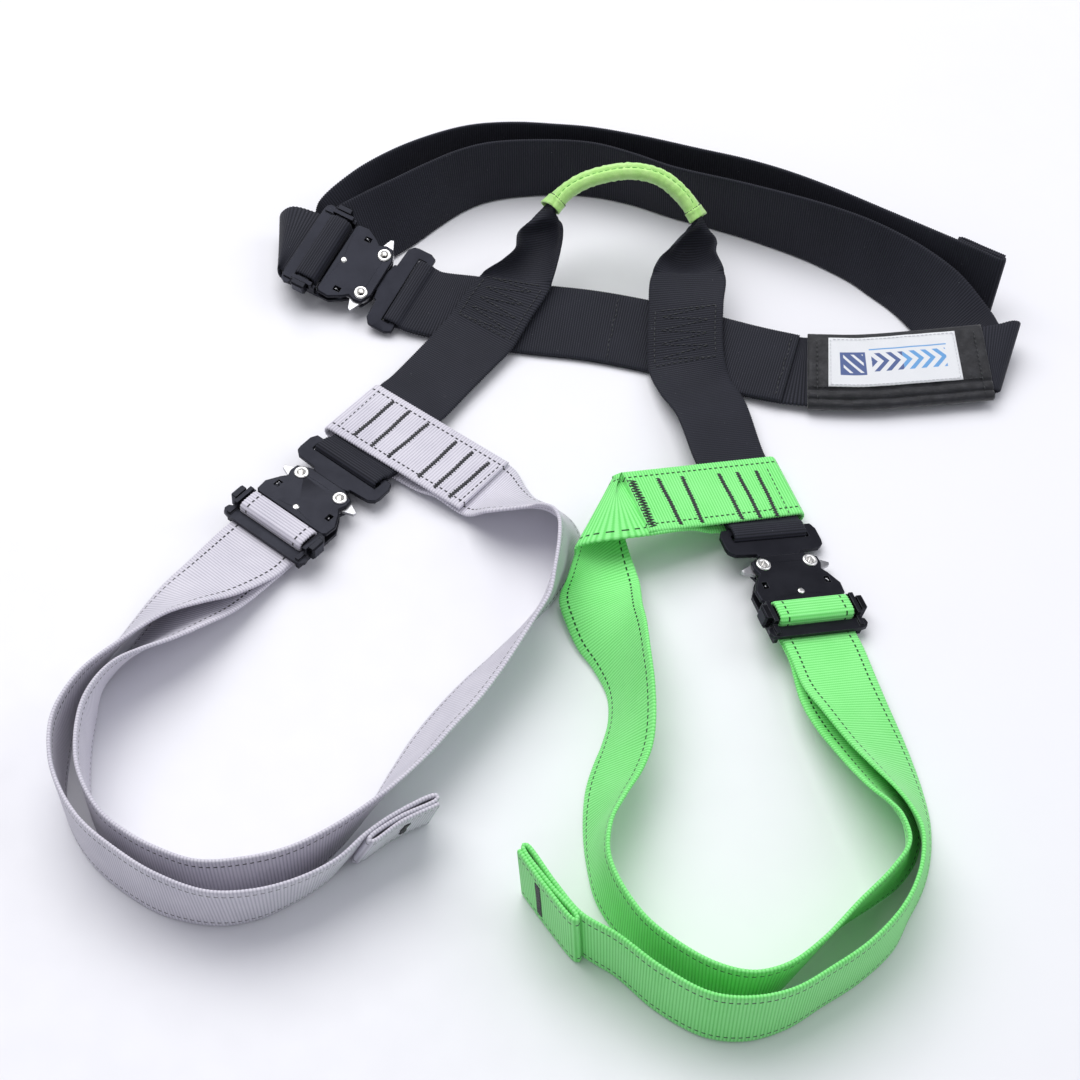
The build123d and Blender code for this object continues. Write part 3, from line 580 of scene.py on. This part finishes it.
def fabric_material(name, ground, painted_shade, pitch, sheen=0.3):
    """Plain-woven nylon cloth with soft creases, painted shade in the hollows of the weave and a
    painted highlight on the crease ridges.
    """
    s = Shader(name, Sheen_Weight=sheen, Sheen_Roughness=0.4)
    along, across = s.cloth_mm()
    weave = s.math("MULTIPLY", s.wave(along, pitch), s.wave(across, pitch))
    crease = s.noise(150.0, 4.0, rough=0.6)
    # painted shade: the hollows of the weave take the darker colour
    hollow_shaded = s.mix(s.ramp(weave, 0.1, 0.8), painted_shade, ground)
    # painted highlight: the raised crease ridges are lightened
    painted_crease_highlight = s.mix(s.math("MULTIPLY", s.ramp(crease, 0.4, 0.7), 0.25), hollow_shaded,
                tuple(min(c * 1.3, 1) for c in ground))
    s.put(s.surface.inputs["Base Color"], painted_crease_highlight)
    s.put(s.surface.inputs["Roughness"], s.ramp(crease, 0.3, 0.7, 0.72, 0.55))
    s.bump(crease, 0.0012, 0.7, s.bump(weave, 0.00015, 0.5))
    return s.material


def metal_material(name, colour, metallic, rough, wear, wear_colour, grain=700.0, round_off=0.0005):
    """Finished metal: fine grain, handling smudges, and edges rubbed towards bare metal."""
    bare = metallic > 0.9
    s = Shader(name, Specular_IOR_Level=0.5 if bare else 0.25,
               Specular_Tint=(1.0, 1.0, 1.0, 1.0) if bare else (0.72, 0.76, 1.0, 1.0))
    soft = s.node("ShaderNodeBevel", samples=4)
    soft.inputs["Radius"].default_value = round_off
    sharp = s.node("ShaderNodeNewGeometry").outputs["Normal"]
    dot = s.node("ShaderNodeVectorMath", operation="DOT_PRODUCT")
    s.put(dot.inputs[0], soft.outputs[0])
    s.put(dot.inputs[1], sharp)
    edge = s.ramp(dot.outputs["Value"], 0.985, 0.9)
    smudge = s.ramp(s.noise(55.0, 5.0, rough=0.65), 0.35, 0.7)
    speck = s.noise(grain, 3.0)
    rub = s.math("MULTIPLY", edge, s.ramp(s.noise(240.0, 3.0), 0.42, 0.62, wear * 0.35, wear))
    body = s.mix(s.math("MULTIPLY", smudge, 0.3), colour,
                 tuple(min(c * 1.5 + 0.004, 1) for c in colour))
    s.put(s.surface.inputs["Base Color"], s.mix(rub, body, wear_colour))
    s.put(s.surface.inputs["Metallic"], s.ramp(rub, 0.0, 1.0, metallic, 1.0))
    s.put(s.surface.inputs["Roughness"],
          s.math("MULTIPLY_ADD", smudge, 0.14, s.math("MULTIPLY_ADD", speck, 0.1, rough - 0.1)))
    s.bump(speck, 0.00003, 0.6, soft.outputs[0])
    return s.material


def label_material(name):
    """Satin woven label: white ground with a plain two-blue pattern and no lettering, greyed between
    the threads with painted shade.
    """
    s = Shader(name, Sheen_Weight=0.2)
    along, across = s.cloth_mm()
    weave = s.math("MULTIPLY", s.wave(along, 0.55), s.wave(across, 0.55))

    def box(x0, x1, y0, y1):
        inside = s.ramp(along, x0 - 0.15, x0 + 0.15)
        for value, limit, flip in ((along, x1, 1), (across, y0, 0), (across, y1, 1)):
            lo, hi = (1.0, 0.0) if flip else (0.0, 1.0)
            inside = s.math("MULTIPLY", inside, s.ramp(value, limit - 0.15, limit + 0.15, lo, hi))
        return inside

    white, navy, blue = (0.86, 0.87, 0.9), (0.03, 0.075, 0.27), (0.1, 0.36, 0.75)
    slant = s.wave(s.math("ADD", along, across), 6.5)
    peaks = s.wave(s.math("ADD", along, s.math("ABSOLUTE", across)), 7.0)
    colour = s.mix(box(7, 22.5, -8.5, 6.5), white, navy)
    colour = s.mix(s.math("MULTIPLY", box(9, 21, -7, 5), s.ramp(slant, 0.72, 0.82)), colour, white)
    for x0, x1, tint in ((26, 45, navy), (45, 71, blue)):
        block = s.math("MULTIPLY", box(x0, x1, -6.5, 5.5), s.ramp(peaks, 0.5, 0.6))
        colour = s.mix(block, colour, tint)
    colour = s.mix(box(25, 72, 7.6, 8.4), colour, blue)
    # painted shade: the hollows between the threads are greyed
    colour = s.mix(s.ramp(weave, 0.0, 0.6, 0.22, 0.0), colour, (0.35, 0.37, 0.42))
    s.put(s.surface.inputs["Base Color"], colour)
    s.put(s.surface.inputs["Roughness"], s.ramp(weave, 0, 1, 0.7, 0.5))
    s.bump(weave, 0.00018, 0.6)
    return s.material


TUCK = 0.42               # below this share of its width a gathered strap is inside its sleeve
RIB_SCALLOP = 0.22        # selvedge in and out at each rib, mm
RIB_RELIEF = 0.035        # rib height as a share of the thickness
YARN = 1.15               # pitch of the yarn floats across the strap, mm
TRACER_AT, TRACER_WIDE = 17.6, 0.75     # tracer thread: from the middle line, and its width
GREEN_RIB, GREY_RIB, BLACK_RIB = 1.7, 1.7, 1.45     # pitch of the cross ribs, mm

# In the webbing and cloth materials below, the second colour is painted shade for the hollows of the
# weave.
BLACK_WEB = webbing_material("black_webbing", (0.0105, 0.0115, 0.0225), (0.0035, 0.004, 0.0075),
                             BLACK_RIB, (0.03, 0.033, 0.045), lint=0.2, sheen=0.06)
GREY_WEB = webbing_material("grey_webbing", (0.64, 0.62, 0.7), (0.44, 0.425, 0.5), GREY_RIB,
                            (0.72, 0.7, 0.76), tracer=(0.02, 0.02, 0.025))
GREEN_WEB = webbing_material("green_webbing", (0.26, 0.88, 0.26), (0.13, 0.66, 0.13), GREEN_RIB,
                             (0.42, 0.95, 0.38), tracer=(0.006, 0.05, 0.01))
SLEEVE_CLOTH = fabric_material("green_sleeve", (0.6, 0.95, 0.36), (0.42, 0.8, 0.2), 0.7)
LABEL_CLOTH = fabric_material("black_fabric", (0.009, 0.01, 0.018), (0.004, 0.004, 0.006), 0.8, 0.35)
LABEL_WEAVE = label_material("woven_label_cloth")
BLACK_THREAD = thread_material("black_thread", (0.022, 0.024, 0.03))
GREEN_THREAD = thread_material("green_thread", (0.12, 0.5, 0.06))
WHITE_THREAD = thread_material("white_thread", (0.75, 0.76, 0.8))
PLATE = metal_material("plate_black", (0.008, 0.008, 0.0105), 0.12, 0.36, 0.45, (0.2, 0.2, 0.21))
ADAPTOR = metal_material("adaptor_black", (0.007, 0.007, 0.0095), 0.1, 0.42, 0.35, (0.16, 0.16, 0.17))
BAR_BLACK = metal_material("bar_gloss_black", (0.006, 0.006, 0.007), 0.3, 0.26, 0.3, (0.15, 0.15, 0.16))
RIVET = metal_material("rivet_bright", (0.78, 0.77, 0.75), 1.0, 0.27, 0.5, (0.9, 0.9, 0.9),
                       grain=1500.0, round_off=0.0002)
STEEL = metal_material("lever_steel", (0.42, 0.42, 0.44), 1.0, 0.36, 0.5, (0.6, 0.6, 0.62),
                       grain=1100.0, round_off=0.0003)

# ---- straps ----
grey, green, waist = SEATS["grey"], SEATS["green"], SEATS["waist"]


def jointed_strap(name, knots, joint_at, buckle, material, rib, nodes, reach=48.0):
    """One strap in three: held stretch, middle stretch reach mm to each side, travelling stretch."""
    run = Run(knots, rib / 2)
    mid = run.near(joint_at)
    span = int(reach / (rib / 2))
    a, b = mid - span, mid + span
    held = strap(name + "_held", run.part(0, a), material, "harness", rib, ends=(True, False))
    give = strap(name + "_give", run.part(a, b), material, None, rib, a, ends=(False, False))
    way = strap(name + "_travel", run.part(b, len(run.c) - 1), material, buckle, rib, b,
                ends=(False, True))
    axis = unit(run.c[b] - run.c[a])
    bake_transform(give)
    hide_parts(nodes[0])
    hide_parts(nodes[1])


grey_knots = keeper_run(grey, -70, 27.5, -38, -74, -57, -60.5, (0, WEB, 0)) + standing(GREY_LEG)
grey_tail = standing(GREY_TAIL + GREY_END)
grey_knots += buckle_run(grey, (-WEB, 0, 0)) + grey_tail[:-3] + rolled_end(grey_tail[-3:], 1)
jointed_strap("grey_leg_strap", grey_knots, standing(GREY_LEG)[GREY_SPLIT][0], "grey_buckle",
              GREY_WEB, GREY_RIB, ("grey_leg_anchor", "grey_leg_loop"))

green_leg = standing(GREEN_LEG)
green_knots = keeper_run(green, 72, -26.5, 30, 77, -56.5, -52.5, (0, -WEB, 0)) + loose(GREEN_FOLD)
green_tail = standing(GREEN_TAIL + GREEN_END)
green_knots += green_leg + buckle_run(green, (WEB, 0, 0)) + green_tail[:-3]
green_knots += rolled_end(green_tail[-3:], -1)
jointed_strap("green_leg_strap", green_knots, green_leg[GREEN_SPLIT][0], "green_buckle",
              GREEN_WEB, GREEN_RIB, ("green_leg_anchor", "green_leg_loop"), 40.0)

front_double = standing(FRONT_DOUBLE)
front_single = standing(FRONT_SINGLE)
back_band = standing(BACK_BAND)
belt_tail = standing(BELT_TAIL + BELT_END)
belt_knots = raised(front_double, LAYER)[::-1] + adaptor_bight(waist, (WEB, 0, 0))[1:-1]
belt_knots += front_double + front_single + loose(HIP_FOLD) + back_band + loose(LEFT_FOLD_IN)
belt_knots += seated(waist, [(0, 52, -7.1)], (WEB, 0, 0)) + buckle_run(waist, (WEB, 0, 0))[1:-1]
belt_knots += seated(waist, [(0, 52, -4.7)], (WEB, 0, 0)) + loose(LEFT_FOLD_OUT) + belt_tail[:-3]
belt_knots += rolled_end(belt_tail[-3:], -1)
jointed_strap("waist_belt", belt_knots, back_band[BACK_SPLIT][0], "waist_buckle",
              BLACK_WEB, BLACK_RIB, ("waist_belt_front", "waist_belt_back"), 44.0)

cross_left = on_belt(front_double, LEFT_CROSS)
cross_right = on_belt(front_double, RIGHT_CROSS)
sleeve_knots = loose(SLEEVE_RUN)
bridge_knots = seated(grey, [(-7, -74, -4.9)], (-WEB, 0, 0))
bridge_knots += adaptor_bight(grey, (-WEB, 0, 0), shear=-0.14)[::-1]
bridge_knots += seated(grey, [(-2, -60, -2.5), (1.5, -72, -2.5), (3.8, -82, -2.5)], (-WEB, 0, 0))
bridge_knots += loose(LEFT_DROP) + cross_left + loose(LEFT_LEG) + sleeve_knots + loose(RIGHT_LEG)
bridge_knots += cross_right + loose(RIGHT_DROP)
bridge_knots += seated(green, [(0, -84, -2.5), (0, -64, -2.5)], (WEB, 0, 0))
bridge_knots += adaptor_bight(green, (WEB, 0, 0)) + seated(green, [(0, -72, -4.9)], (WEB, 0, 0))
bridge_run = Run(bridge_knots, BLACK_RIB / 2)
bridge = strap("bridge_strap_web", bridge_run, BLACK_WEB, "harness", BLACK_RIB,
               gathered=True)
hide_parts("bridge_strap")


# ---- bridge sleeve ----
SIDES = 56                # points round the sleeve
SEAM_TURN = 5.8           # angle round the sleeve of its lengthwise seam
HEM = 6.0                 # length of the turned hems
CLOTH_THICK = 1.0
GIRTH_RADIUS = 9.0        # girth of the cloth over 2 pi
HALF_DEPTH, WIDTH_SHARE = 5.2, 0.7   # half thickness, and half width as a share of the run's width
PUCKERS = ((17, 1, 0.3), (23, 2, 1.9), (31, 3, 4.1), (41, 1, 2.2))   # waves, lobes, phase


def sleeve_piece():
    """Fabric tube gathered round the middle of the bridge, with a felled seam and turned hems."""
    run = Run(sleeve_knots, 1.0)
    count = len(run.c)
    turn = np.linspace(0, 2 * np.pi, SIDES, endpoint=False)
    t = run.s / run.s[-1]
    from_end = np.minimum(run.s, run.s[-1] - run.s)
    hem = 1 + 0.07 * (from_end < HEM) + 0.05 * np.exp(-((from_end - HEM) / 0.8) ** 2)
    pucker = np.zeros((count, SIDES))
    for k, (waves, lobes, shift) in enumerate(PUCKERS):
        pucker += np.sin(2 * np.pi * waves * t[:, None] + lobes * turn + shift) * (0.11 - 0.015 * k)
    pucker *= np.clip((from_end[:, None] - 4) / 14, 0.25, 1)
    seam = 0.9 * np.exp(-(((turn - SEAM_TURN + 0.28) / 0.2) ** 2))
    groove = 0.8 * np.exp(-(((turn - SEAM_TURN) / 0.12) ** 2))
    half_w = np.linalg.norm(run.w, axis=1)[:, None] * WIDTH_SHARE * hem[:, None]
    half_t = HALF_DEPTH * hem[:, None]
    squircle = lambda v: np.sign(v) * np.abs(v) ** 0.8

    def skin(inset, relief):
        return swept(run, (half_w - inset + relief) * squircle(np.cos(turn)),
                     (half_t - inset + relief) * squircle(np.sin(turn)))

    outer, inner = skin(0.0, pucker + seam - groove), skin(CLOTH_THICK, 0.0)
    verts = np.concatenate([inner[0][None], outer, inner[::-1]])
    uv = cloth_uv(np.concatenate([[0], run.s, run.s[::-1]])[:, None], turn * GIRTH_RADIUS)
    piece = make_mesh("bridge_sleeve_cloth", verts.reshape(-1, 3),
                      grid_faces(len(verts), SIDES, (False, False)), SLEEVE_CLOTH, "harness",
                      uv)
    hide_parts("bridge_sleeve")
    pairs, normals = [], []
    k = int(round(SEAM_TURN / (2 * np.pi) * SIDES))
    for i in range(8, count - 12, 4):
        out = unit(outer[i, k] - run.c[i])
        pairs.append((outer[i, k] + out * 0.2, outer[i + 3, k] + out * 0.2))
        normals.append(out)
    stitches("bridge_sleeve_seam", pairs, normals, 0.3, GREEN_THREAD, "harness")
    pairs, normals = [], []
    for i in (7, count - 8):
        out = outer[i] - run.c[i]
        ring = outer[i] + out * 0.02
        for k in range(0, SIDES, 2):
            pairs.append((ring[k], ring[k + 1]))
            normals.append(unit(out[k]))
    stitches("bridge_sleeve_hems", pairs, normals, 0.3, BLACK_THREAD, "harness")


sleeve_piece()


# ---- label sleeve and label ----
LABEL_EDGES = (-11.5, 20.5)      # label edges across the belt, from its middle line


def label_pieces():
    """Fabric sleeve round the belt, and the woven label sewn down on its face."""
    run = Run(standing([(141, 114.6, 5, -72), (172, 113, 6, -72), (208, 116, 6.5, -72),
                        (248, 120.6, 6.5, -71)]), 1.5)
    count = len(run.c)
    # section: top face with the cloth rolled twice along the lower edge, plain underside
    top = [(-24.4, 0.6), (-24.2, 2.6), (-23, 3.7), (-21.2, 3.9), (-19.8, 3.2), (-19.2, 2.3),
           (-18.6, 3.3), (-17, 4.1), (-15, 4.1), (-13.6, 3.3), (-13, 2.5), (-12.4, 3.4),
           (-10.5, 3.9), (-5, 3.7), (3, 3.6), (12, 3.7), (19, 3.7), (22.6, 3.2), (24.2, 1.8),
           (24.5, 0.2)]
    under = [(24.1, -1.6), (22.4, -3.2), (17, -3.7), (5, -3.6), (-8, -3.6), (-18, -3.7), (-22.6, -3.3),
             (-24.1, -1.8)]
    outline = np.array((top + under)[::-1])
    k = len(outline)
    wave = 0.25 * np.sin(run.s[:, None] * 0.21 + outline[:, 0] * 0.3)
    wave += 0.18 * np.sin(run.s[:, None] * 0.53 - outline[:, 0] * 0.17 + 1.0)
    near_end = np.minimum(run.s, run.s[-1] - run.s)
    pinch = 1 - 0.12 * np.exp(-((near_end - 5.5) / 0.9) ** 2)[:, None]
    x = outline[None, :, 0]
    z = (outline[:, 1] + wave * (np.abs(outline[:, 1]) > 2)) * pinch
    cloth = make_mesh("label_sleeve_cloth", swept(run, x, z).reshape(-1, 3), grid_faces(count, k),
                      LABEL_CLOTH, "harness", cloth_uv(run.s[:, None], x))
    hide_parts("label_sleeve")
    lines = []
    for s in (5.5, run.s[-1] - 5.5):
        line = run.at(s, np.linspace(-22, 22, 12), 3.9)
        lines.append((line, run.n[run.near(line[6])], 2.2, 0.8))
    line = run.at(np.linspace(3, run.s[-1] - 3, 40), -11.4, 3.95)
    lines.append((line, run.n[count // 2], 2.2, 0.8))
    running_seams("label_sleeve_seams", lines, 0.26, BLACK_THREAD)

    tag = Run(raised(standing([(153, 114, 5.4, -72), (172, 113, 6, -72), (208, 116, 6.5, -72),
                               (231, 118.4, 6.5, -71.6)]), 4.2), 1.0)
    rows, cols = len(tag.c), 22
    across = np.linspace(*LABEL_EDGES, cols)
    lift = 0.3 + 0.12 * np.sin(tag.s[:, None] * 0.35 + across * 0.2)
    face = swept(tag, across[None], lift)
    back = face - tag.n[:, None] * 0.45
    section = np.concatenate([back, face[:, ::-1]], axis=1)
    v = np.concatenate([across, across[::-1]]) - sum(LABEL_EDGES) / 2
    label = make_mesh("woven_label_cloth", section.reshape(-1, 3), grid_faces(rows, 2 * cols),
                      LABEL_WEAVE, "harness", cloth_uv(tag.s[:, None], v))
    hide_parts("woven_label")
    s0, s1 = 1.4, tag.s[-1] - 1.4
    corners = [(s0, -10.3), (s1, -10.3), (s1, 19.3), (s0, 19.3), (s0, -10.3)]
    lines = []
    for (a, va), (b, vb) in zip(corners, corners[1:]):
        f = np.linspace(0, 1, 30)
        line = tag.at(a + (b - a) * f, va + (vb - va) * f, 0.55)
        lines.append((line, tag.n[rows // 2], 1.8, 0.7))
    edge = running_seams("woven_label_stitches", lines, 0.16, WHITE_THREAD)


label_pieces()


# ---- sewing ----
THREAD_LIFT = 0.12        # middle of a thread over the webbing it is sewn through


def keeper_sewing(name, seat, bars, ends, y0, y1, heavy, node):
    """Bartacks across a keeper, one of them open and heavy, and a seam near each end."""
    top = KEEPER_TOP + THK / 2 + THREAD_LIFT
    tacks = []
    for n, x in enumerate(bars):
        lean = 0.6 * math.sin(n * 2.3)
        a, b = seat.at(x + lean, y0, top), seat.at(x - lean, y1, top)
        if x == heavy:
            tacks += [tack_line(a, b, seat.x * 5.0, 2.0, 0.08),
                      tack_line(b, a, seat.x * 5.0, 2.0, 0.08)]
        else:
            tacks += [tack_line(a, b, seat.x * 1.7, 0.75, 0.04),
                      tack_line(a, b, seat.x * 3.0, 1.7, 0.06)]
    tacks = np.concatenate(tacks)
    bartacks = stitches(name + "_bartacks_thread", tacks, seat.z, 0.3, BLACK_THREAD, "harness")
    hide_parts(node)
    lines = [([seat.at(x, y0 - 1, top), seat.at(x + lean, y1 + 1, top)], seat.z, 2.4, 1.2)
             for x, lean in ((min(ends), 0.8), (max(ends), -0.8))]
    running_seams(name + "_edge_seams", lines, 0.26, BLACK_THREAD)


keeper_sewing("grey_keeper", grey, (10, -2.5, -16, -38, -50, -61.5), (22, -68), -75, -40, None,
              "grey_bartacks")
keeper_sewing("green_keeper", green, (68.5, 52, 38, 14, 2.5, -9), (-17, 71.5), -68, -33, 68.5,
              "green_bartacks")


def box_stitch(run, mid, length, width, height):
    """Lines of a box with a zigzag in it, sewn through a crossing on the face of a run."""
    lines = []
    s0, s1, half = run.s[mid] - length / 2, run.s[mid] + length / 2, width / 2
    zig = np.linspace(0, 1, 9)
    swing = np.where(np.arange(9) % 2 == 0, -1.0, 1.0) * (half - 3)
    routes = [([s0, s1], [-half, -half]), ([s0, s1], [half, half]), ([s0, s0], [-half, half]),
              ([s1, s1], [-half, half]), (s0 + (s1 - s0) * zig, swing)]
    for s, v in routes:
        f = np.linspace(0, len(s) - 1, 60)
        line = run.at(np.interp(f, range(len(s)), s), np.interp(f, range(len(v)), v), height)
        lines.append((line, -run.n[mid], 2.5, 0.9))
    return lines


boxes = [line for cross in (cross_left, cross_right)
         for line in box_stitch(bridge_run, bridge_run.near(cross[1][0]), 34, 36, -(THK / 2 + 0.15))]
box_thread = running_seams("bridge_box_thread", boxes, 0.32, BLACK_THREAD)
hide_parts("bridge_box_stitching")


def tail_tack(name, knots, fraction, half, height, count, body, node, rough):
    """Bartack through the rolled strap end."""
    run = Run(knots, 1.0)
    s = fraction * run.s[-1]
    pairs = []
    for k in range(count):
        at = s + (k - (count - 1) / 2) * 1.3
        a, b = run.at(at, -half, height)[0], run.at(at, half, height)[0]
        pairs.append(tack_line(a, b, run.t[run.near(a)] * 1.9, 1.0, rough))
    pairs = np.concatenate(pairs)
    normal = run.n[len(run.n) // 2] * np.sign(height)
    thread = stitches(name, pairs, normal, 0.3, BLACK_THREAD, body)
    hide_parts(node)


STOP_H = 2 * LAYER + THK / 2 + 0.1      # face of a three-layer strap end
tail_tack("grey_tail_thread", grey_tail[-2:], 0.2, 10, STOP_H, 2, "grey_buckle",
          "grey_tail_bartack", 0.2)
tail_tack("green_tail_thread", green_tail[-2:], 0.28, 15, -STOP_H, 3, "green_buckle",
          "green_tail_bartack", 0.04)
tail_tack("waist_tail_thread", belt_tail[-2:], 0.42, 14, -STOP_H, 3, "waist_buckle",
          "waist_tail_bartack", 0.05)

front = Run(raised(front_double, LAYER + THK / 2 + THREAD_LIFT), 1.0)
belt_lines = []
for s in (8, 14, 88, front.s[-1] - 4):
    line = front.at(s + 0.6 * np.sin(np.arange(20)), np.linspace(-19, 19, 20), 0)
    belt_lines.append((line, front.n[front.near(line[10])], 2.4, 0.9))
running_seams("waist_belt_seams", belt_lines, 0.28, BLACK_THREAD)


# ---- buckle hardware ----
LATHE_SIDES = 48
RIVET_X, DOT_Y = 14.5, 20.5      # pivot rivets and centre rivet on the buckle's seat
# (radius, z) turned shapes: tubular pivot rivet with a hex socket, and domed centre rivet
RIVET_PROFILE = [(0.01, -4.6), (1.9, -4.6), (1.95, 0.3), (2.35, 0.75), (3.1, 1.0), (3.9, 0.85),
                 (4.3, 0.4), (4.35, 0.05), (3.0, -0.02), (3.0, -7.4), (4.3, -7.42), (4.3, -7.8),
                 (3.6, -8.1), (0.01, -8.1)]
DOT_PROFILE = [(0.01, 0.62), (0.9, 0.6), (1.5, 0.45), (1.95, 0.2), (2.0, 0.0), (1.6, -0.1), (1.6, -2.0),
               (2.8, -2.05), (2.8, -5.35), (1.6, -5.4), (1.6, -7.4), (1.5, -7.7), (0.01, -7.75)]


def in_seat(seat, verts):
    return seat.origin + np.asarray(verts) @ np.stack([seat.x, seat.y, seat.z])


def rivets(tag, seat):
    """The two pivot rivets, the floors of their sockets given the gloss black finish as painted shade,
    and the centre rivet.
    """
    verts, faces = lathe(RIVET_PROFILE, LATHE_SIDES, hexed=(1, 2))
    both = np.concatenate([verts + [-RIVET_X, 0, 0], verts + [RIVET_X, 0, 0]])
    faces = faces + [[i + len(verts) for i in f] for f in faces]
    piece = make_mesh(tag + "_rivets_turned", in_seat(seat, both), faces, RIVET, tag + "_buckle")
    # painted shade: the socket floors of both rivets take the gloss black finish
    piece.data.materials.append(BAR_BLACK)
    for i in range(LATHE_SIDES):
        piece.data.polygons[i].material_index = 1
        piece.data.polygons[i + len(faces) // 2].material_index = 1
    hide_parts(tag + "_pivot_rivets")
    verts, faces = lathe(DOT_PROFILE, 32)
    piece = make_mesh(tag + "_rivet_dot", in_seat(seat, verts + [0, DOT_Y, 0]), faces, RIVET,
                      tag + "_buckle")
    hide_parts(tag + "_centre_rivet")


COIL_RADIUS, COIL_Z, WIRE_RADIUS = 3.75, -4.92, 0.36
COIL_TURNS = np.linspace(-2.6, 2.9, 40)[25::-1]      # angles round the rivet, up to the leg
SPRING_LEG = [(18.6, 0.5, -4.92), (18.9, 6, -4.92), (18.9, 12.4, -4.9), (18.9, 13.4, -4.5),
              (19.0, 13.8, -3.4), (19.1, 14.0, -1.0), (19.3, 14.3, -0.25), (19.6, 15.6, -0.05)]


def springs(tag, seat):
    """Torsion springs round the rivets, each with a bent leg end standing in its window."""
    verts, faces = [], []
    for side in (-1, 1):
        coil = [(RIVET_X + COIL_RADIUS * math.cos(a), COIL_RADIUS * math.sin(a), COIL_Z)
                for a in COIL_TURNS]
        v, f = tube([(side * x, y, z) for x, y, z in coil + SPRING_LEG], WIRE_RADIUS, 10)
        faces += [[i + len(v) * len(verts) for i in q] for q in f]
        verts.append(v)
    piece = make_mesh(tag + "_spring_wire", in_seat(seat, np.concatenate(verts)), faces, STEEL,
                      tag + "_buckle")
    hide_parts(tag + "_lever_springs")


def refinish(node, material, bevel):
    """Give a CAD metal part its finish and broken edges, bevel in mm."""
    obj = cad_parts[node]
    obj.data.materials.clear()
    obj.data.materials.append(material)
    weld = obj.modifiers.new("weld", "WELD")
    weld.merge_threshold = 0.01 * MM
    soft = obj.modifiers.new("edges", "BEVEL")
    soft.width = bevel * MM
    soft.segments = 2
    soft.limit_method = "ANGLE"
    soft.angle_limit = math.radians(35)
    soft.harden_normals = True


for tag, seat in SEATS.items():
    rivets(tag, seat)
    springs(tag, seat)
    for part, finish, bevel in (("top_plate", PLATE, 0.18), ("bottom_frame", PLATE, 0.3),
                                ("adaptor_plate", ADAPTOR, 0.45), ("lever_a", STEEL, 0.15),
                                ("lever_b", STEEL, 0.15), ("slide_bar", BAR_BLACK, 0.35)):
        refinish(tag + "_" + part, finish, bevel)


# ---- floor, light and camera ----
def floor():
    """Plain pale sheet, 12 m square."""
    s = Shader("floor_paper")
    s.put(s.surface.inputs["Base Color"],
          s.mix(s.noise(9.0, 2.0), (0.79, 0.79, 0.835), (0.81, 0.81, 0.85)))
    s.put(s.surface.inputs["Roughness"], s.ramp(s.noise(60.0, 2.0), 0.3, 0.7, 0.5, 0.58))
    mesh = bpy.data.meshes.new("floor")
    mesh.from_pydata([(-6, -6, 0), (6, -6, 0), (6, 6, 0), (-6, 6, 0)], [], [(0, 1, 2, 3)])
    mesh.materials.append(s.material)
    obj = placed("floor", mesh)


def aim(obj, place, target):
    """Put a light or camera at a place, looking at a target."""
    obj.location = place
    obj.rotation_euler = (target - Vector(place)).to_track_quat("-Z", "Y").to_euler()


def area_light(name, place, size, power, colour):
    """Square light aimed at the middle of the object."""
    data = bpy.data.lights.new(name, "AREA")
    data.size = size
    data.energy = power
    data.color = colour
    aim(placed(name, data), place, Vector())


floor()
area_light("key", (-0.5, 0.9, 2.2), 2.4, 60, (1.0, 0.995, 0.99))
area_light("fill", (1.8, 0.3, 1.6), 1.6, 12, (0.96, 0.97, 1.0))
area_light("front", (-0.4, -1.8, 1.5), 1.6, 3, (0.95, 0.96, 1.0))
world = bpy.data.worlds.new("studio")
world.use_nodes = True
sky = world.node_tree.nodes["Background"].inputs
sky["Color"].default_value = (0.93, 0.94, 1.0, 1.0)
sky["Strength"].default_value = 0.38
bpy.context.scene.world = world
bpy.context.scene.view_settings.view_transform = "Standard"

AIM = Vector((-18 + CENTRE_X, -4, 0)) * MM
DISTANCE, ELEVATION = 1.124, math.radians(51)
camera_data = bpy.data.cameras.new("camera")
camera_data.lens, camera_data.sensor_width = 200 / 3, 36
camera_data.clip_end = 20
camera = placed("camera", camera_data)
aim(camera, AIM + Vector((0, -math.cos(ELEVATION), math.sin(ELEVATION))) * DISTANCE, AIM)
bpy.context.scene.camera = camera

bpy.context.view_layer.update()
